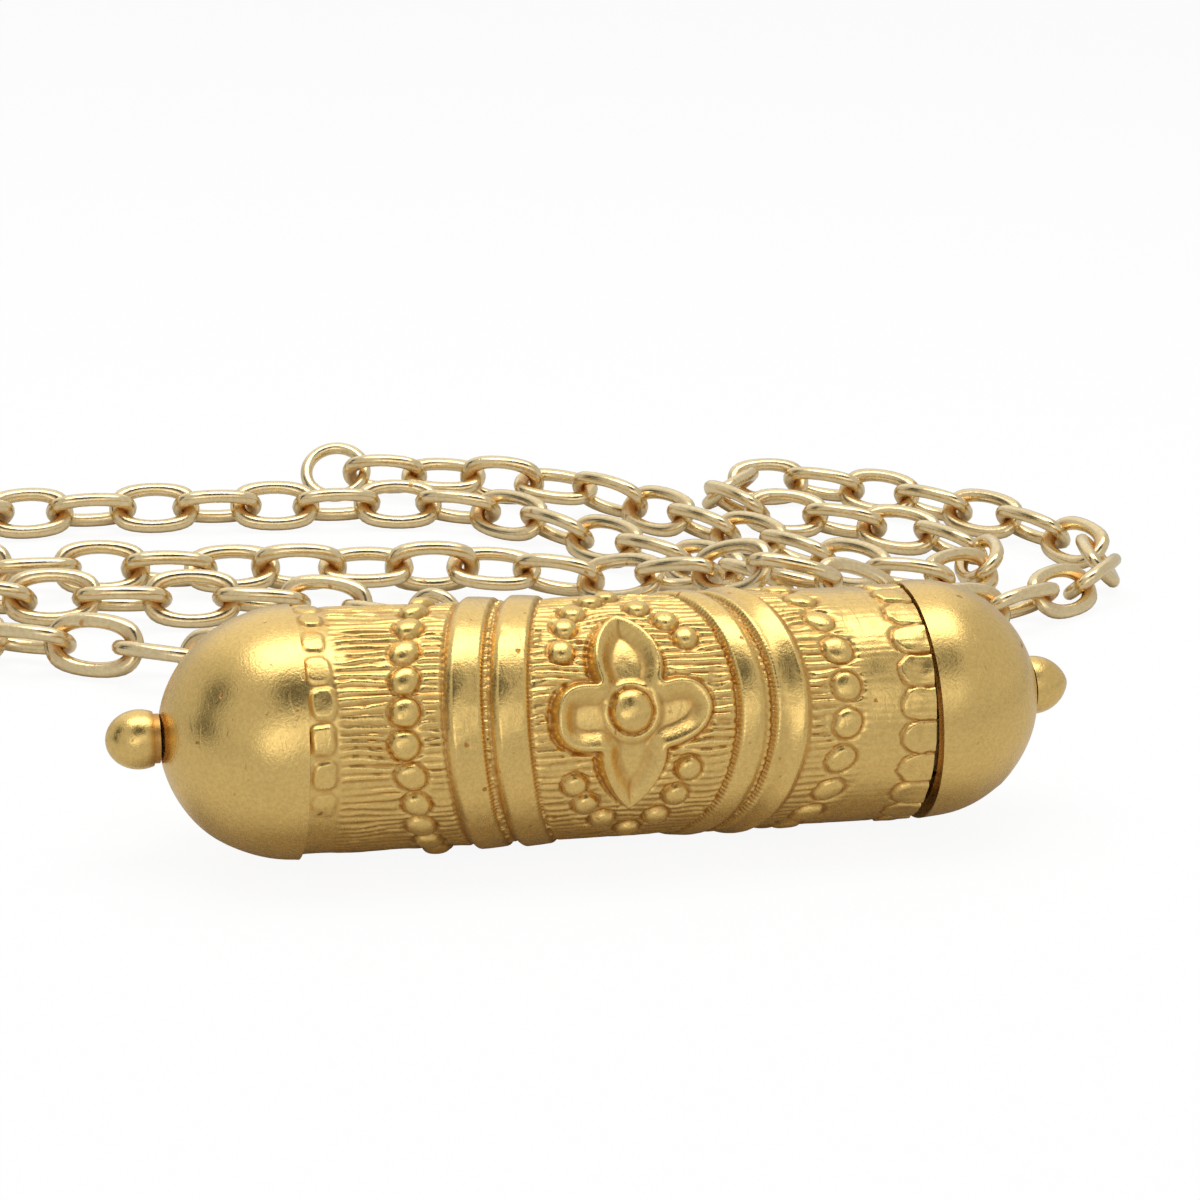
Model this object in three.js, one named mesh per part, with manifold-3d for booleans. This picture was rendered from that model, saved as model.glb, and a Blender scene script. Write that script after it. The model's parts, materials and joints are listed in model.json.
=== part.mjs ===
import * as THREE from "three";
import { mergeVertices } from "three/addons/utils/BufferGeometryUtils.js";
import Module from "manifold-3d";

// Amulet necklace: a cylindrical capsule with a pull-off cap, hung by two bails and two
// jump rings from an oval-link cable chain that lies undone. Millimetres, +Z up.
// X runs along the capsule with the cap at +X. The rosette faces -Y and a little up.
// The origin lies on the barrel's underside, below the middle of the capsule.

const wasm = await Module();
wasm.setup();

// Capsule barrel
const FACETS = 36;
const TUBE_RADIUS = 7.22;
const BORE_RADIUS = 6.2;
const JOINT_X = -18.65;
const MOUTH_X = 18.87;
const ORNAMENT_ANGLE = 22.7;

// Raised rings, which lean towards each other at the back
const RING_LEAN = 2.8;
const RING_RADIUS = 7.5;
const GROOVE_RADIUS = 7.28;
const RING_EDGE = 0.2;
const LEFT_RING_X = -10.9;
const RIGHT_RING_X = 6.6;
const RING_WIDTH = 2.3;
const INNER_RING_WIDTH = 1.9;
const GROOVE_WIDTH = 0.4;
const END_BAND_RADIUS = 7.32;
const LEFT_BAND_WIDTH = 1.5;
const RIGHT_BAND_WIDTH = 1.8;

// Four-petal rosette: [along the capsule, round it]. Each side of a petal swells by two handles.
const ROSETTE_X = 0.1;
const PETAL_CORNERS = [[2.05, 1.75], [-2.05, 1.75], [-2.1, -2.3], [2.15, -2.25]];
const PETAL_TIPS = [[-0.2, 6.15], [-4.75, -0.25], [-0.1, -6.05], [4.95, 0.05]];
const PETAL_SWELLS = [
  [[2.75, 3.6], [1.3, 5.6]],
  [[-1.6, 5.5], [-2.7, 3.5]],
  [[-3.6, 1.9], [-4.7, 1.5]],
  [[-4.85, -1.9], [-3.6, -2.4]],
  [[-2.2, -3.5], [-1.1, -5.3]],
  [[1, -5.4], [2.3, -3.4]],
  [[3.7, -1.9], [4.75, -1.3]],
  [[4.9, 1.3], [3.8, 2.25]],
];
const PETAL_BORDER = 0.8;
const PETAL_STEPS = 4;
const BORDER_RISE = 0.42;
const FIELD_RISE = 0.14;
const BOSS_RADIUS = 1.2;

// Fixed dome, soldered over a neck turned on the barrel's left end
const NECK_STEP = 0.42;
const NECK_RADIUS = TUBE_RADIUS - NECK_STEP;
const NECK_LENGTH = 2.0;
const NECK_CLEARANCE = 0.15;
const DOME_SKIRT_WALL = 0.63;
const DOME_RADIUS = NECK_RADIUS + NECK_CLEARANCE + DOME_SKIRT_WALL;
const DOME_LENGTH = 7.9;
const DOME_WALL = 0.7;
const SEAT_GAP = 0.08;
const DOME_STEPS = 7;
const HOLLOW_STEPS = 4;

// Split spring collar in the barrel's mouth
const COLLAR_CLEARANCE = 0.15;
const COLLAR_WALL = 0.45;
const COLLAR_INSIDE = 5.0;
const COLLAR_OUTSIDE = 3.4;
const COLLAR_SPLIT = 0.3;
const COLLAR_SPLIT_ANGLE = -47;
const COLLAR_SLOTS = 9;
const COLLAR_SLOT_ANGLE = -27;
const COLLAR_SLOT_WIDTH = 0.55;
const COLLAR_SLOT_DEPTH = 2.9;
const CUT_MARGIN = 1;

// Pull-off cap, which sits crooked on the collar
const CAP_RADIUS = 7.45;
const CAP_BORE_CLEARANCE = 0.5;
const CAP_SKIRT = 1.0;
const CAP_LENGTH = 8.25;
const CAP_WALL = 0.7;
const CAP_GAP = 0.06;
const CAP_LEAN = 4.2;
const CAP_CONTACT_ANGLE = 75;
const CAP_RISE = 0.1;

// Finials, each on a small flat pad at its dome's tip
const PAD_RADIUS = 1.25;
const FINIAL_GAP = 0.05;
const KNOB_RADIUS = 1.75;
const KNOB_STRETCH = 1.11;
const KNOB_CUT = 0.91;
const KNOB_NECK_RADIUS = 1.45;
const KNOB_NECK_LENGTH = 0.35;
const CONE_RADIUS = 1.84;
const CONE_LENGTH = 2.6;
const CONE_ROUNDING = 2.2;
const FINIAL_STEPS = 7;

// Rolled prayer paper and the thread round it, lying in the bore
const SCROLL_RADIUS = 2.7;
const SCROLL_CORE = 0.9;
const SCROLL_LENGTH = 30;
const SCROLL_X = -1.5;
const SCROLL_TURNS = 4;
const SCROLL_STEPS = 12;
const PAPER_THICKNESS = 0.24;
const THREAD_RADIUS = 0.3;
const THREAD_SLACK = 0.05;
const BORE_GAP = 0.1;

// Bails and jump rings, on the side away from the rosette
const BAIL_X = 14;
const BAIL_WIRE = 0.6;
const BAIL_RING = 1.85;
const BAIL_SUNK = 0.2;
const BAIL_GAP = 0.1;
const JUMP_WIRE = 0.52;
const JUMP_RING = 2.35;
const JUMP_DROP = 28;

// Oval cable chain
const LINK_LENGTH = 7.4;
const LINK_WIDTH = 4.6;
const LINK_WIRE = 0.575;
const LINK_SIDES = 4;
const LINK_SEGMENTS = 8;
const CORNER = 1.15;
const BEARING = 0.16;
const PLAY = 0.2;
const LINK_ROLL = 45;
const START_TWIST = 35;
const LINKS_IN_NODE = 4;
const FRONT_LINKS = 18;
const LONG_LINKS = 71;
const REST_GAP = 0.04;
const CROSSING = 4.0;

// End ring, leaning on its link
const THREAD_GAP = 0.16;
const END_RING = 2.5;
const END_WIRE = 0.55;

// Lobster clasp and its jump ring
const CLASP_RING = 1.9;
const CLASP_RING_WIRE = 0.45;
const CLASP_THICKNESS = 2.2;
const EYE_RADIUS = 1.7;
const EYE_HOLE = 0.95;
const EYE_THICKNESS = 1.2;
const EYE_PULL = 0.2;
const HOOK_RADIUS = 3.1;
const HOOK_HOLE = 1.95;
const HOOK_REACH = 6.9;
const STEM_FROM = 1.2;
const STEM_NARROW = 0.85;
const STEM_WIDE = 1.95;
const PIVOT_ANGLE = 150;
const LEVER_THICKNESS = 0.8;
const LEVER_LENGTH = 3.9;
const LEVER_BOSS = 0.8;
const LEVER_CLEARANCE = 0.12;
const LEVER_LOW_ANGLE = -10;
const LEVER_HIGH_ANGLE = 60;
const THUMB_RADIUS = 0.6;
const THUMB_ANGLE = 105;
const SLOT_THICKNESS = 1.1;
const PIN_RADIUS = 0.3;
const PIN_CLEARANCE = 0.08;
const PIN_RECESS = 0.05;
const SPRING_STRIP = 0.1;
const SPRING_WIDTH = 0.5;
const SPRING_REACH = 1.1;
const SPRING_OPEN = 0.42;
const POCKET_CLEARANCE = 0.12;

const rad = THREE.MathUtils.degToRad;
const flat = Math.cos(Math.PI / FACETS);
const AXIS_Z = TUBE_RADIUS * flat;
const FLOOR_Z = AXIS_Z - DOME_RADIUS * flat;

const satinGold = new THREE.MeshStandardMaterial({ color: 0xd9a944, roughness: 0.38, metalness: 1 });
const paleGold = new THREE.MeshStandardMaterial({ color: 0xdcc488, roughness: 0.3, metalness: 1 });
const brass = new THREE.MeshStandardMaterial({ color: 0xb98a4a, roughness: 0.45, metalness: 1 });
const steel = new THREE.MeshStandardMaterial({ color: 0xb9b7b0, roughness: 0.35, metalness: 1 });
const paper = new THREE.MeshStandardMaterial({ color: 0xe6dcc0, roughness: 0.9, metalness: 0 });
const cotton = new THREE.MeshStandardMaterial({ color: 0x8c2f25, roughness: 0.9, metalness: 0 });

const model = new THREE.Group();
const capsule = new THREE.Group();
capsule.position.z = AXIS_Z;
model.add(capsule);

function add(name, geometry, material, parent = model) {
  const mesh = new THREE.Mesh(geometry, material);
  mesh.name = name;
  parent.add(mesh);
  return mesh;
}

// A closed geometry with shared corners, no slivers and its faces pointing out
function closed(geometry) {
  const bare = new THREE.BufferGeometry();
  bare.setAttribute("position", geometry.getAttribute("position").clone());
  if (geometry.index) bare.setIndex(geometry.index.clone());
  const merged = mergeVertices(bare, 1e-4);
  const position = merged.getAttribute("position");
  const corners = merged.index.array;
  const kept = [];
  const a = new THREE.Vector3();
  const b = new THREE.Vector3();
  const c = new THREE.Vector3();
  let volume = 0;
  for (let i = 0; i < corners.length; i += 3) {
    const [p, q, r] = [corners[i], corners[i + 1], corners[i + 2]];
    if (p === q || q === r || r === p) continue;
    kept.push(p, q, r);
    a.fromBufferAttribute(position, p);
    b.fromBufferAttribute(position, q);
    c.fromBufferAttribute(position, r);
    volume += a.dot(b.cross(c));
  }
  if (volume < 0) kept.reverse();
  merged.setIndex(kept);
  return merged;
}

function solid(geometry) {
  const shape = closed(geometry);
  return new wasm.Manifold(new wasm.Mesh({
    numProp: 3,
    vertProperties: new Float32Array(shape.getAttribute("position").array),
    triVerts: new Uint32Array(shape.index.array),
  }));
}

function geometryOf(manifold) {
  const mesh = manifold.getMesh();
  const geometry = new THREE.BufferGeometry();
  geometry.setAttribute("position", new THREE.BufferAttribute(mesh.vertProperties, 3));
  geometry.setIndex(new THREE.BufferAttribute(mesh.triVerts, 1));
  return geometry;
}

// A body turned about X from [x, radius] points, one facet centred on the underside
function turned(points, facets = FACETS) {
  const lathe = new THREE.LatheGeometry(points.map(([x, r]) => new THREE.Vector2(r, x)), facets);
  lathe.rotateY(Math.PI / facets);
  lathe.rotateZ(-Math.PI / 2);
  return closed(lathe);
}

function cylinder(radius, fromX, toX) {
  return turned([[fromX, 0], [fromX, radius], [toX, radius], [toX, 0]]);
}

// A ring of round wire about X
function wireRing(ring, wire, facets, sides) {
  const points = [];
  for (let i = 0; i <= sides; i++) {
    const a = 2 * Math.PI * (i + 0.5) / sides;
    points.push([wire * Math.sin(a), ring + wire * Math.cos(a)]);
  }
  points[sides] = points[0];
  return turned(points, facets);
}

// [x, radius] points of a quarter ellipse from the pad at the tip to the full radius
function domeCurve(baseX, length, radius, padRadius, steps) {
  const start = Math.asin(padRadius / radius);
  const points = [];
  for (let i = 0; i <= steps; i++) {
    const a = start + (Math.PI / 2 - start) * i / steps;
    points.push([baseX + length * Math.cos(a), radius * Math.sin(a)]);
  }
  return points;
}

// A direction across the capsule, at an angle above the horizontal that faces -Y
function across(angle) {
  return new THREE.Vector3(0, -Math.cos(rad(angle)), Math.sin(rad(angle)));
}

// Barrel: profile points are [x at the rosette's side, radius, lean]
function ringProfile(x, widths, lean) {
  const points = [[x, TUBE_RADIUS, lean]];
  let left = x;
  widths.forEach((width, i) => {
    points.push([left + RING_EDGE, RING_RADIUS, lean], [left + width - RING_EDGE, RING_RADIUS, lean]);
    left += width;
    const last = i === widths.length - 1;
    points.push([left, last ? TUBE_RADIUS : GROOVE_RADIUS, lean]);
    if (last) return;
    left += GROOVE_WIDTH;
    points.push([left, GROOVE_RADIUS, lean]);
  });
  return points;
}

function barrelShell() {
  const neckEnd = JOINT_X - NECK_LENGTH;
  const profile = [
    [neckEnd, BORE_RADIUS, 0],
    [neckEnd, NECK_RADIUS, 0],
    [JOINT_X, NECK_RADIUS, 0],
    [JOINT_X, END_BAND_RADIUS, 0],
    [JOINT_X + LEFT_BAND_WIDTH, END_BAND_RADIUS, 0],
    [JOINT_X + LEFT_BAND_WIDTH + RING_EDGE, TUBE_RADIUS, 0],
    ...ringProfile(LEFT_RING_X, [RING_WIDTH, RING_WIDTH], RING_LEAN),
    ...ringProfile(RIGHT_RING_X, [INNER_RING_WIDTH, RING_WIDTH], -RING_LEAN),
    [MOUTH_X - RIGHT_BAND_WIDTH - RING_EDGE, TUBE_RADIUS, 0],
    [MOUTH_X - RIGHT_BAND_WIDTH, END_BAND_RADIUS, 0],
    [MOUTH_X, END_BAND_RADIUS, 0],
    [MOUTH_X, BORE_RADIUS, 0],
    [neckEnd, BORE_RADIUS, 0],
  ];
  const points = profile.map(([x, r]) => new THREE.Vector2(r, x));
  const lathe = new THREE.LatheGeometry(points, FACETS);
  lathe.rotateY(Math.PI / FACETS);
  lathe.rotateZ(-Math.PI / 2);
  const position = lathe.getAttribute("position");
  for (let i = 0; i < position.count; i++) {
    const lean = profile[i % profile.length][2];
    const angle = Math.atan2(position.getZ(i), -position.getY(i));
    const back = 1 - Math.cos(angle - rad(ORNAMENT_ANGLE));
    position.setX(i, position.getX(i) + lean * back);
  }
  return closed(lathe);
}

// Outline of the rosette in the plane that touches the barrel at its middle, narrowed by inset
function rosetteOutline(inset) {
  const flattened = ([u, v]) => {
    const narrow = 1 - inset / Math.hypot(u, v);
    return new THREE.Vector2(u * narrow, TUBE_RADIUS * Math.sin(v * narrow / TUBE_RADIUS));
  };
  const ends = PETAL_CORNERS.flatMap((corner, i) => [corner, PETAL_TIPS[i]]).map(flattened);
  const shape = new THREE.Shape();
  shape.moveTo(ends[0].x, ends[0].y);
  PETAL_SWELLS.forEach((handles, i) => {
    const [first, second] = handles.map(flattened);
    const end = ends[(i + 1) % ends.length];
    shape.bezierCurveTo(first.x, first.y, second.x, second.y, end.x, end.y);
  });
  return shape;
}

function rosettePrism(inset) {
  const prism = new THREE.ExtrudeGeometry(rosetteOutline(inset), {
    depth: TUBE_RADIUS,
    bevelEnabled: false,
    curveSegments: PETAL_STEPS,
  });
  const along = new THREE.Vector3(1, 0, 0);
  const out = across(ORNAMENT_ANGLE);
  const round = new THREE.Vector3().crossVectors(out, along);
  const turn = new THREE.Matrix4().makeBasis(along, round, out);
  prism.applyMatrix4(turn);
  prism.translate(ROSETTE_X, out.y, out.z);
  return solid(prism);
}

function rosette() {
  const halfLength = 2 * TUBE_RADIUS;
  const shell = (radius) => solid(cylinder(radius, -halfLength, halfLength));
  const inside = shell((BORE_RADIUS + TUBE_RADIUS) / 2);
  const border = rosettePrism(0).intersect(shell(TUBE_RADIUS + BORDER_RISE)).subtract(inside);
  const dish = rosettePrism(PETAL_BORDER).subtract(shell(TUBE_RADIUS + FIELD_RISE));
  const boss = new THREE.SphereGeometry(BOSS_RADIUS, 12, 8);
  const middle = across(ORNAMENT_ANGLE).multiplyScalar(TUBE_RADIUS);
  boss.translate(ROSETTE_X, middle.y, middle.z);
  return border.subtract(dish).add(solid(boss).subtract(inside));
}

add("case_barrel", geometryOf(solid(barrelShell()).add(rosette())), satinGold, capsule);

// Fixed dome
const domeOuter = domeCurve(0, DOME_LENGTH, DOME_RADIUS, PAD_RADIUS, DOME_STEPS);
const domeTipX = domeOuter[0][0];
const domeSkirt = NECK_LENGTH + NECK_CLEARANCE;
const skirtRadius = NECK_RADIUS + NECK_CLEARANCE;
const domeHollow = DOME_LENGTH - domeSkirt - DOME_WALL;
const domeInner = domeCurve(domeSkirt, domeHollow, skirtRadius - DOME_WALL / 2, 0, HOLLOW_STEPS);
const domeX = JOINT_X - SEAT_GAP;
const domeProfile = [
  [domeX - domeTipX, 0],
  ...domeOuter.map(([x, r]) => [domeX - x, r]),
  [domeX, skirtRadius],
  [domeX - domeSkirt, skirtRadius],
  ...domeInner.map(([x, r]) => [domeX - x, r]).reverse(),
];
add("fixed_dome", turned(domeProfile), satinGold, capsule);

// Ball knob on the fixed dome
const knobBase = domeX - domeTipX - FINIAL_GAP;
const knobStart = Math.asin(KNOB_CUT);
const knobHalf = KNOB_STRETCH * KNOB_RADIUS;
const knobCentre = knobBase - KNOB_NECK_LENGTH - knobHalf * Math.cos(knobStart);
const knobPoints = [
  [knobBase, 0],
  [knobBase, KNOB_NECK_RADIUS],
  [knobBase - KNOB_NECK_LENGTH, KNOB_NECK_RADIUS],
];
for (let i = 0; i <= FINIAL_STEPS; i++) {
  const a = knobStart + (Math.PI - knobStart) * i / FINIAL_STEPS;
  knobPoints.push([knobCentre + knobHalf * Math.cos(a), KNOB_RADIUS * Math.sin(a)]);
}
knobPoints[knobPoints.length - 1][1] = 0;
add("ball_finial", turned(knobPoints, 16), satinGold, capsule);

// Spring collar
const collarRadius = BORE_RADIUS * flat - COLLAR_CLEARANCE;
const collarBore = collarRadius - COLLAR_WALL;
const collarFrom = MOUTH_X - COLLAR_INSIDE;
const collarTo = MOUTH_X + COLLAR_OUTSIDE;

function slotCutter(angle, width, fromX, toX) {
  const cutter = new THREE.BoxGeometry(toX - fromX, collarRadius, width);
  cutter.translate((fromX + toX) / 2, -collarRadius, 0);
  cutter.rotateX(-rad(angle));
  return solid(cutter);
}

let collar = solid(turned([
  [collarFrom, collarBore],
  [collarFrom, collarRadius],
  [collarTo, collarRadius],
  [collarTo, collarBore],
  [collarFrom, collarBore],
]));
const slotFrom = collarTo - COLLAR_SLOT_DEPTH;
const cutTo = collarTo + CUT_MARGIN;
collar = collar.subtract(slotCutter(COLLAR_SPLIT_ANGLE, COLLAR_SPLIT, collarFrom - CUT_MARGIN, cutTo));
for (let i = 0; i < COLLAR_SLOTS; i++) {
  const angle = COLLAR_SLOT_ANGLE + 360 * i / COLLAR_SLOTS;
  collar = collar.subtract(slotCutter(angle, COLLAR_SLOT_WIDTH, slotFrom, cutTo));
}
add("spring_collar", geometryOf(collar), brass, capsule);

// Cap, turned about the point of its rim that touches the barrel
const contact = across(CAP_CONTACT_ANGLE).multiplyScalar(CAP_RADIUS);
const lean = new THREE.Group();
lean.position.set(MOUTH_X + CAP_GAP, contact.y, contact.z + CAP_RISE);
const leanAxis = new THREE.Vector3(1, 0, 0).cross(across(CAP_CONTACT_ANGLE));
lean.quaternion.setFromAxisAngle(leanAxis, rad(CAP_LEAN));
capsule.add(lean);
const crooked = new THREE.Group();
crooked.position.copy(contact).negate();
lean.add(crooked);

const capBore = collarRadius + CAP_BORE_CLEARANCE;
const capOuter = domeCurve(CAP_SKIRT, CAP_LENGTH - CAP_SKIRT, CAP_RADIUS, PAD_RADIUS, DOME_STEPS);
const capTipX = capOuter[0][0];
const capStraight = COLLAR_OUTSIDE + CAP_GAP;
const capInner = domeCurve(capStraight, CAP_LENGTH - capStraight - CAP_WALL, capBore, 0, HOLLOW_STEPS);
const capProfile = [
  [capTipX, 0],
  ...capOuter,
  [0, CAP_RADIUS],
  [0, capBore],
  ...capInner.reverse(),
];
add("pull_off_cap", turned(capProfile), satinGold, crooked);

// Rounded cone on the cap
const coneBase = capTipX + FINIAL_GAP;
const conePoints = [[coneBase, 0]];
for (let i = 0; i <= FINIAL_STEPS; i++) {
  const t = i / FINIAL_STEPS;
  conePoints.push([coneBase + CONE_LENGTH * t, CONE_RADIUS * (1 - t ** CONE_ROUNDING)]);
}
add("cone_finial", turned(conePoints, 16), satinGold, crooked);

// Rolled paper: one strip wound into a spiral, and a thread round it
const threadRing = SCROLL_RADIUS + THREAD_SLACK + THREAD_RADIUS;
const scrollZ = threadRing + THREAD_RADIUS + BORE_GAP - BORE_RADIUS * flat;
const spiral = [[], []];
const spiralSteps = SCROLL_TURNS * SCROLL_STEPS;
for (let i = 0; i <= spiralSteps; i++) {
  const a = 2 * Math.PI * i / SCROLL_STEPS;
  const r = SCROLL_CORE + (SCROLL_RADIUS - SCROLL_CORE) * i / spiralSteps;
  spiral[0].push(new THREE.Vector2(r * Math.cos(a), r * Math.sin(a)));
  spiral[1].unshift(new THREE.Vector2(
    (r - PAPER_THICKNESS) * Math.cos(a),
    (r - PAPER_THICKNESS) * Math.sin(a),
  ));
}
const scroll = new THREE.ExtrudeGeometry(new THREE.Shape(spiral.flat()), {
  depth: SCROLL_LENGTH,
  bevelEnabled: false,
});
scroll.rotateY(Math.PI / 2);
scroll.translate(SCROLL_X - SCROLL_LENGTH / 2, 0, scrollZ);
add("prayer_scroll", closed(scroll), paper, capsule);
const tie = wireRing(threadRing, THREAD_RADIUS, 16, 5);
tie.translate(SCROLL_X, 0, scrollZ);
add("scroll_thread", tie, cotton, capsule);

// Bails, each cut to sit on the barrel, and the jump rings through them
const bailReach = TUBE_RADIUS + BAIL_RING + BAIL_WIRE - BAIL_SUNK - BAIL_WIRE / 2;
const bailEye = across(ORNAMENT_ANGLE + 180).multiplyScalar(bailReach);
const seat = solid(cylinder(TUBE_RADIUS + BAIL_GAP, JOINT_X, MOUTH_X));
const dropDirection = new THREE.Vector3(0, Math.cos(rad(JUMP_DROP)), -Math.sin(rad(JUMP_DROP)));
for (const [side, x] of [["left", -BAIL_X], ["right", BAIL_X]]) {
  const loop = wireRing(BAIL_RING, BAIL_WIRE, 16, 6);
  loop.translate(x, bailEye.y, bailEye.z);
  add(`${side}_bail`, geometryOf(solid(loop).subtract(seat)), satinGold, capsule);
  const ring = new THREE.TorusGeometry(JUMP_RING, JUMP_WIRE, 6, 16);
  ring.translate(0, JUMP_RING, 0);
  ring.rotateX(-rad(JUMP_DROP));
  ring.translate(x, bailEye.y, bailEye.z + AXIS_Z);
  add(`${side}_jump_ring`, closed(ring), paleGold);
}

// One oval link along X, lying flat: a turned ring pulled apart at its middle
const halfLine = LINK_LENGTH / 2 - LINK_WIRE;
const halfWidth = LINK_WIDTH / 2 - LINK_WIRE;
const linkCorner = CORNER * LINK_WIRE;

function oneLink() {
  const section = [];
  const widen = 1 / Math.cos(Math.PI / LINK_SEGMENTS);
  for (let i = 0; i <= LINK_SIDES; i++) {
    const a = 2 * Math.PI * i / LINK_SIDES;
    section.push(new THREE.Vector2(
      widen * (halfWidth - linkCorner * Math.cos(a)),
      linkCorner * Math.sin(a),
    ));
  }
  section[LINK_SIDES] = section[0];
  const link = new THREE.LatheGeometry(section, LINK_SEGMENTS);
  link.rotateY(Math.PI / LINK_SEGMENTS);
  link.rotateX(Math.PI / 2);
  const position = link.getAttribute("position");
  for (let i = 0; i < position.count; i++) {
    const x = position.getX(i);
    position.setX(i, x + Math.sign(x) * (halfLine - halfWidth));
  }
  return closed(link);
}

// Where the chain lies: points chosen along its route, [x, y, rise, twist]. Links lean 45
// degrees to either side in turn, twist turns both further, and rise lifts them off the table.
const ringReach = 2 * JUMP_RING - JUMP_WIRE - THREAD_GAP - PLAY / 2;
const ringEnd = bailEye.clone().addScaledVector(dropDirection, ringReach);
const startRise = ringEnd.z + AXIS_Z - FLOOR_Z - restHeight(START_TWIST);

function restHeight(twist) {
  return halfWidth * Math.sin(rad(LINK_ROLL + Math.abs(twist))) + linkCorner + REST_GAP;
}

const frontRoute = [
  [-BAIL_X, ringEnd.y, startRise, START_TWIST],
  [-13.5, 18, 0, 0.5 * START_TWIST],
  [-16.6, 25, 0, 0],
  [-22.3, 29.6, 0, -20],
  [-28.4, 32.2, 0, -27],
  [-34, 35.6, 0, -10],
  [-38.2, 35.6, 0, 0],
  [-42, 37.4, 0, 0],
  [-43.6, 41, 0, 0],
  [-41.6, 44.6, 0, 0],
  [-37.4, 46, 0, 0],
  [-33.4, 44.6, 0, 0],
  [-25, 42.8, 0, 12],
  [-16.5, 41.6, 0, 12],
  [-8, 38, 0, 15],
  [-2, 32.6, 0, 30],
  [1.4, 26.4, 0, 30],
];

const longRoute = [
  [BAIL_X, ringEnd.y, startRise, START_TWIST],
  [16.2, 17, 0, 0.5 * START_TWIST],
  [20.2, 24, 0, 0],
  [22.6, 32, 0, 0],
  [24.6, 39, 0, 0],
  [21.8, 44, 0, 0],
  [18, 48.6, 0, 0],
  [14.2, 53, 0, 0],
  [10.8, 58, 0, 0],
  [6.6, 63.2, 0, 0],
  [1, 65.8, 0, 0],
  [-8, 66.4, 0, 0],
  [-20, 67, 0, 0],
  [-33, 66.3, 0, 0],
  [-38.5, 64, 0, 0],
  [-41.9, 59, 0, 0],
  [-40.1, 53, 0, 0],
  [-36, 50.8, 0, 10],
  [-31, 50.6, 0, 22],
  [-20, 50, 0, 0],
  [-9, 48, 0, -20],
  [2.2, 46.6, 0, -30],
  [9.6, 43.4, 0, -10],
  [16, 38, 0.5 * CROSSING, 0],
  [21.4, 32.4, CROSSING, 20],
  [29, 31.4, 0.5 * CROSSING, 0],
  [36.6, 32.4, 0, 0],
  [44.6, 35.6, 0, 0],
  [51, 40.4, 0, 0],
  [53, 47, 0, 0],
  [50.6, 54, 0, 0],
  [45.4, 60.6, 0, 0],
  [40, 66, 0, 0],
  [35, 69.4, 0, 0],
  [29.8, 69.2, 0, 0],
  [26.8, 65.2, 0, 0],
  [29.2, 60.8, 0, 0],
  [35.4, 57, 0, 0],
  [41.8, 51, 0, 0],
  [43.4, 45, 0, 0],
  [39.4, 40.8, 0, 0],
  [34, 42.4, 0, 0],
  [30.4, 47, 0, 0],
  [26.4, 52.6, 0, 0],
  [22.6, 58.2, 0, 0],
  [19, 63.8, 0, 0],
  [14, 68.4, 0, 20],
  [8.6, 70.8, 0, 35],
  [2.7, 73.2, 0, 25],
  [-4, 75.2, 0, 10],
  [-12, 76.6, 0, 10],
];

// The chain: each link spans two bearing points on the route, and leans to the other side
// than the one before. Links of one node bear on each other, and nodes keep a little play.
const linkShape = oneLink();
const innerHalf = halfLine - linkCorner;

function layChain(prefix, route, links, firstLean) {
  const curve = new THREE.CatmullRomCurve3(
    route.map(([x, y, rise, twist]) => new THREE.Vector3(x, y, FLOOR_Z + restHeight(twist) + rise)),
    false,
    "centripetal",
  );
  const last = 40 * route.length;
  const samples = curve.getSpacedPoints(last);
  const twistAt = (index) => {
    const t = curve.getUtoTmapping(index / last) * (route.length - 1);
    const k = Math.min(Math.floor(t), route.length - 2);
    return THREE.MathUtils.lerp(route[k][3], route[k + 1][3], t - k);
  };
  samples.forEach((point, i) => {
    point.z = Math.max(point.z, FLOOR_Z + restHeight(twistAt(i)));
  });
  const bearings = [samples[0].clone()];
  let from = samples[0];
  let index = 0;
  let stretch = null;
  let nodes = 0;
  let end = null;
  for (let count = 0; count < links; count++) {
    const opens = count % LINKS_IN_NODE === 0;
    const closes = (count + 1) % LINKS_IN_NODE === 0 || count === links - 1;
    const back = innerHalf + (opens ? -PLAY : BEARING) / 2;
    const ahead = innerHalf + (closes ? -PLAY : BEARING) / 2;
    const span = back + ahead;
    while (samples[index].distanceTo(from) < span) index++;
    const before = samples[index - 1];
    const t = (span - before.distanceTo(from)) / before.distanceTo(samples[index]);
    const next = before.clone().lerp(samples[index], t);
    const along = next.clone().sub(from).normalize();
    const level = new THREE.Vector3(0, 0, 1).cross(along).normalize();
    const up = along.clone().cross(level);
    const lean = rad((count % 2 ? -LINK_ROLL : LINK_ROLL) * firstLean + twistAt(index));
    const wide = level.multiplyScalar(Math.cos(lean)).addScaledVector(up, Math.sin(lean));
    const middle = from.clone().addScaledVector(along, back);
    const drop = halfWidth * Math.hypot(wide.z, along.z) + (halfLine - halfWidth) * Math.abs(along.z);
    middle.z = Math.max(middle.z, FLOOR_Z + drop + linkCorner + REST_GAP);
    const place = new THREE.Matrix4().makeBasis(along, wide, along.clone().cross(wide));
    const link = solid(linkShape.clone().applyMatrix4(place.setPosition(middle)));
    stretch = stretch ? stretch.add(link) : link;
    end = { middle, along };
    bearings.push(next);
    from = next;
    if (closes) {
      nodes++;
      add(`${prefix}_${String(nodes).padStart(2, "0")}`, geometryOf(stretch), paleGold);
      stretch = null;
    }
  }
  return { end, bearings };
}

const front = layChain("front_chain", frontRoute, FRONT_LINKS, 1);
const long = layChain("long_chain", longRoute, LONG_LINKS, 1);

// The middle of a wire that hangs in the last link of a chain
function threaded(chain, wire) {
  const { middle, along } = chain.end;
  return middle.clone().addScaledVector(along, innerHalf - wire - THREAD_GAP);
}

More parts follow.
